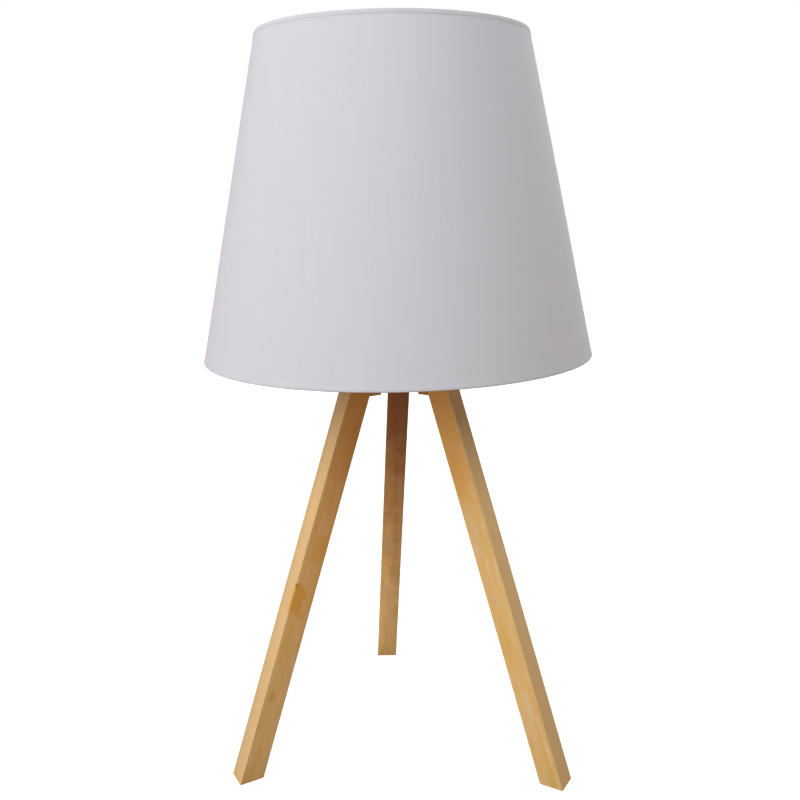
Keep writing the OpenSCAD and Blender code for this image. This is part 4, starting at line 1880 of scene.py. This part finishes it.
@dataclass
class Bulb:
    """An opal candle bulb with a screw cap."""

    cap_r: float = 13.1 * MM
    cap_wall: float = 1.2 * MM
    foot_in: float = 1.75 * MM
    pitch: float = 3.6 * MM
    depth: float = 1.0 * MM
    plain_foot: float = 1.5 * MM
    plain_top: float = 2.5 * MM
    fine: float = 0.3 * MM
    bulb_r: float = 17.5 * MM
    wall_t: float = 1.2 * MM
    tip_edge: float = 0.3 * MM
    housing_rows: int = 24
    envelope_rows: int = 36
    steps: int = 128
    candle: Point = (2.2, 0.75)
    body: str = "bulb"

    def cap(self) -> Piece:
        """Models the screw cap, drawn in at its foot and rolled into a thread.

        Returns:
            The cap.
        """
        low, high = heights("bulb_cap")
        foot_r = self.cap_r - self.foot_in
        inner = self.cap_r - self.cap_wall
        outline = [
            (foot_r - self.cap_wall, low),
            (foot_r, low),
            *wall(self.cap_r, low + self.foot_in, high, self.fine),
            *wall(inner, high, low + self.foot_in, self.fine),
        ]
        cap = spun("bulb_cap_threaded", outline)
        low, high = low + self.plain_foot, high - self.plain_top
        Thread(low, high, self.pitch, self.depth).cut(cap, [self.cap_r, inner])
        return cap

    def housing(self) -> Piece:
        """Models the housing, which widens from the cap to the envelope.

        Returns:
            The housing.
        """
        low, high = heights("bulb_housing")
        turns = [math.pi / 2 * i / self.housing_rows for i in range(self.housing_rows + 1)]
        grow, rise = self.bulb_r - self.cap_r, high - low
        outer = [(self.cap_r + grow * math.sin(t), high - rise * math.cos(t)) for t in turns]
        inner = [(r - self.wall_t, z) for r, z in reversed(outer)]
        return spun("bulb_housing_moulded", [*outer, *inner], self.steps)

    def envelope(self) -> Piece:
        """Models the candle-shaped envelope as a thin shell that closes at its tip.

        Returns:
            The envelope.
        """
        low, high = heights("bulb_envelope")
        turns = [math.pi / 2 * i / self.envelope_rows for i in range(self.envelope_rows + 1)]
        sharp, slim = self.candle
        outline: Outline = []
        for inset, way in ((0.0, 1), (self.wall_t, -1)):
            radius, height = self.bulb_r - inset, high - low - inset
            for up in map(math.sin, turns[::way]):
                outline.append((radius * max(0.0, 1 - up**sharp) ** slim, low + up * height))
        return spun("bulb_envelope_opal", outline, self.steps)

    def build(self) -> None:
        """Builds the bulb and dresses its small parts."""
        add_to(self.cap(), THREADED, self.body, "steel", "bulb_cap")
        add_to(self.housing(), WHITE_PLASTIC, self.body, "white_plastic", "bulb_housing")
        add_to(self.envelope(), OPAL, self.body, "frosted", "bulb_envelope")
        add_softened("bulb_tip", self.tip_edge, STEEL, self.body, "steel")
        BLACK_GLASS.cover_nodes("bulb_insulator")
        BOARD_WHITE.cover_nodes("bulb_board")


# ---------------------------------------------------------------------------------------
# Studio


@dataclass(frozen=True)
class SoftBox:
    """A broad, even light that hangs at a distance from the lamp and faces it."""

    name: str
    light: float
    azimuth: float
    height: float
    distance: float
    size: float
    colour: Triple = (1.0, 0.99, 0.975)

    def hang(self, aim: Vector) -> Piece:
        """Makes the light.

        Args:
            aim: The point that it faces, where it gives its whole light.

        Returns:
            The light's object.
        """
        azimuth, height = math.radians(self.azimuth), math.radians(self.height)
        level = math.cos(height)
        towards = Vector((level * math.cos(azimuth), level * math.sin(azimuth), math.sin(height)))
        data = bpy.data.lights.new(self.name, "AREA")
        data.shape = "DISK"
        data.size = self.size
        data.energy = self.light * math.pi * self.distance**2
        data.color = self.colour
        box = bpy.data.objects.new(self.name, data)
        box.location = aim + self.distance * towards
        box.rotation_euler = towards.to_track_quat("Z", "Y").to_euler()
        return box


@dataclass
class Studio:
    """A pale floor, soft light from the upper left and the camera."""

    photo_px: float = 800.0
    focal_px: float = 924.56
    middle_px: Point = (432.81, 349.4)
    distance: float = 598.12 * MM
    eye_height: float = 373.61 * MM
    yaw: float = -2.1
    pitch: float = -9.69
    roll: float = -0.87
    orbit: float = 1.61
    sensor: float = 36.0
    nearest: float = 0.01
    floor_size: float = 40.0
    aim: float = 0.3
    boxes: tuple[SoftBox, ...] = (
        SoftBox("key", light=3.4, azimuth=220.5, height=31.0, distance=1.8, size=1.8),
        SoftBox("fill", light=1.15, azimuth=327.0, height=36.0, distance=0.95, size=0.6),
        SoftBox("back", 2.7, 68.0, 36.0, distance=3.0, size=2.6, colour=(1.0, 0.985, 0.96)),
    )
    sky: Triple = (0.96, 0.975, 1.0)
    sky_low: float = 0.13
    sky_high: float = 0.48

    def camera(self) -> None:
        """Sets the camera up where the photograph was taken."""
        aimed = turned(self.yaw, "Z") @ turned(self.pitch, "X")
        ahead, right, up = (aimed @ Vector(v) for v in ((0, 1, 0), (1, 0, 0), (0, 0, 1)))
        tilt = math.radians(self.roll)
        across = math.cos(tilt) * right + math.sin(tilt) * up
        upright = math.cos(tilt) * up - math.sin(tilt) * right
        axes = Matrix((across, upright, -ahead)).transposed().to_4x4()
        eye = Matrix.Translation((0, -self.distance, self.eye_height))
        data = bpy.data.cameras.new("photo_camera")
        data.sensor_width = self.sensor
        data.lens = self.focal_px / self.photo_px * self.sensor
        data.shift_x = (self.photo_px / 2 - self.middle_px[0]) / self.photo_px
        data.shift_y = (self.middle_px[1] - self.photo_px / 2) / self.photo_px
        data.clip_start = self.nearest
        camera = bpy.data.objects.new("photo_camera", data)
        camera.matrix_world = turned(self.orbit, "Z") @ eye @ axes
        bpy.context.scene.collection.objects.link(camera)
        bpy.context.scene.camera = camera

    def floor(self) -> None:
        """Lays the floor."""
        bpy.ops.mesh.primitive_plane_add(size=self.floor_size)
        floor = named("studio_floor")
        PAPER.cover(floor)

    def light(self) -> None:
        """Hangs the soft boxes and sets the surrounding light."""
        for box in self.boxes:
            bpy.context.scene.collection.objects.link(box.hang(Vector((0, 0, self.aim))))
        world = bpy.data.worlds.new("studio")
        world.use_nodes = True
        world.node_tree.nodes.clear()
        board = Board(world.node_tree)
        way = board.node("TexCoord").outputs["Generated"]
        upward = board.node("SeparateXYZ", Vector=way).outputs["Z"]
        strength = board.spread(upward, 0.0, 1.0, self.sky_low, self.sky_high)
        cast = board.node("Background", Color=rgba(self.sky), Strength=strength)
        seen = board.node("Background", Color=rgba(WHITE), Strength=1.0)
        board.node("OutputWorld", Surface=board.by_camera(cast.outputs[0], seen.outputs[0]))
        bpy.context.scene.world = world

    def build(self) -> None:
        """Sets up the camera, the floor and the light."""
        self.camera()
        self.floor()
        self.light()
        bpy.context.scene.view_settings.view_transform = "Standard"


def main() -> None:
    """Builds the lamp's sub-assemblies in order."""
    logging.basicConfig(level=logging.INFO, format="%(message)s")
    for part in (Studio(), Tripod(), Hardware(), Lampholder(), ShadeRing(), Shade(), Bulb()):
        part.build()
        LOG.info("%s is built", type(part).__name__)


if __name__ == "__main__":
    main()
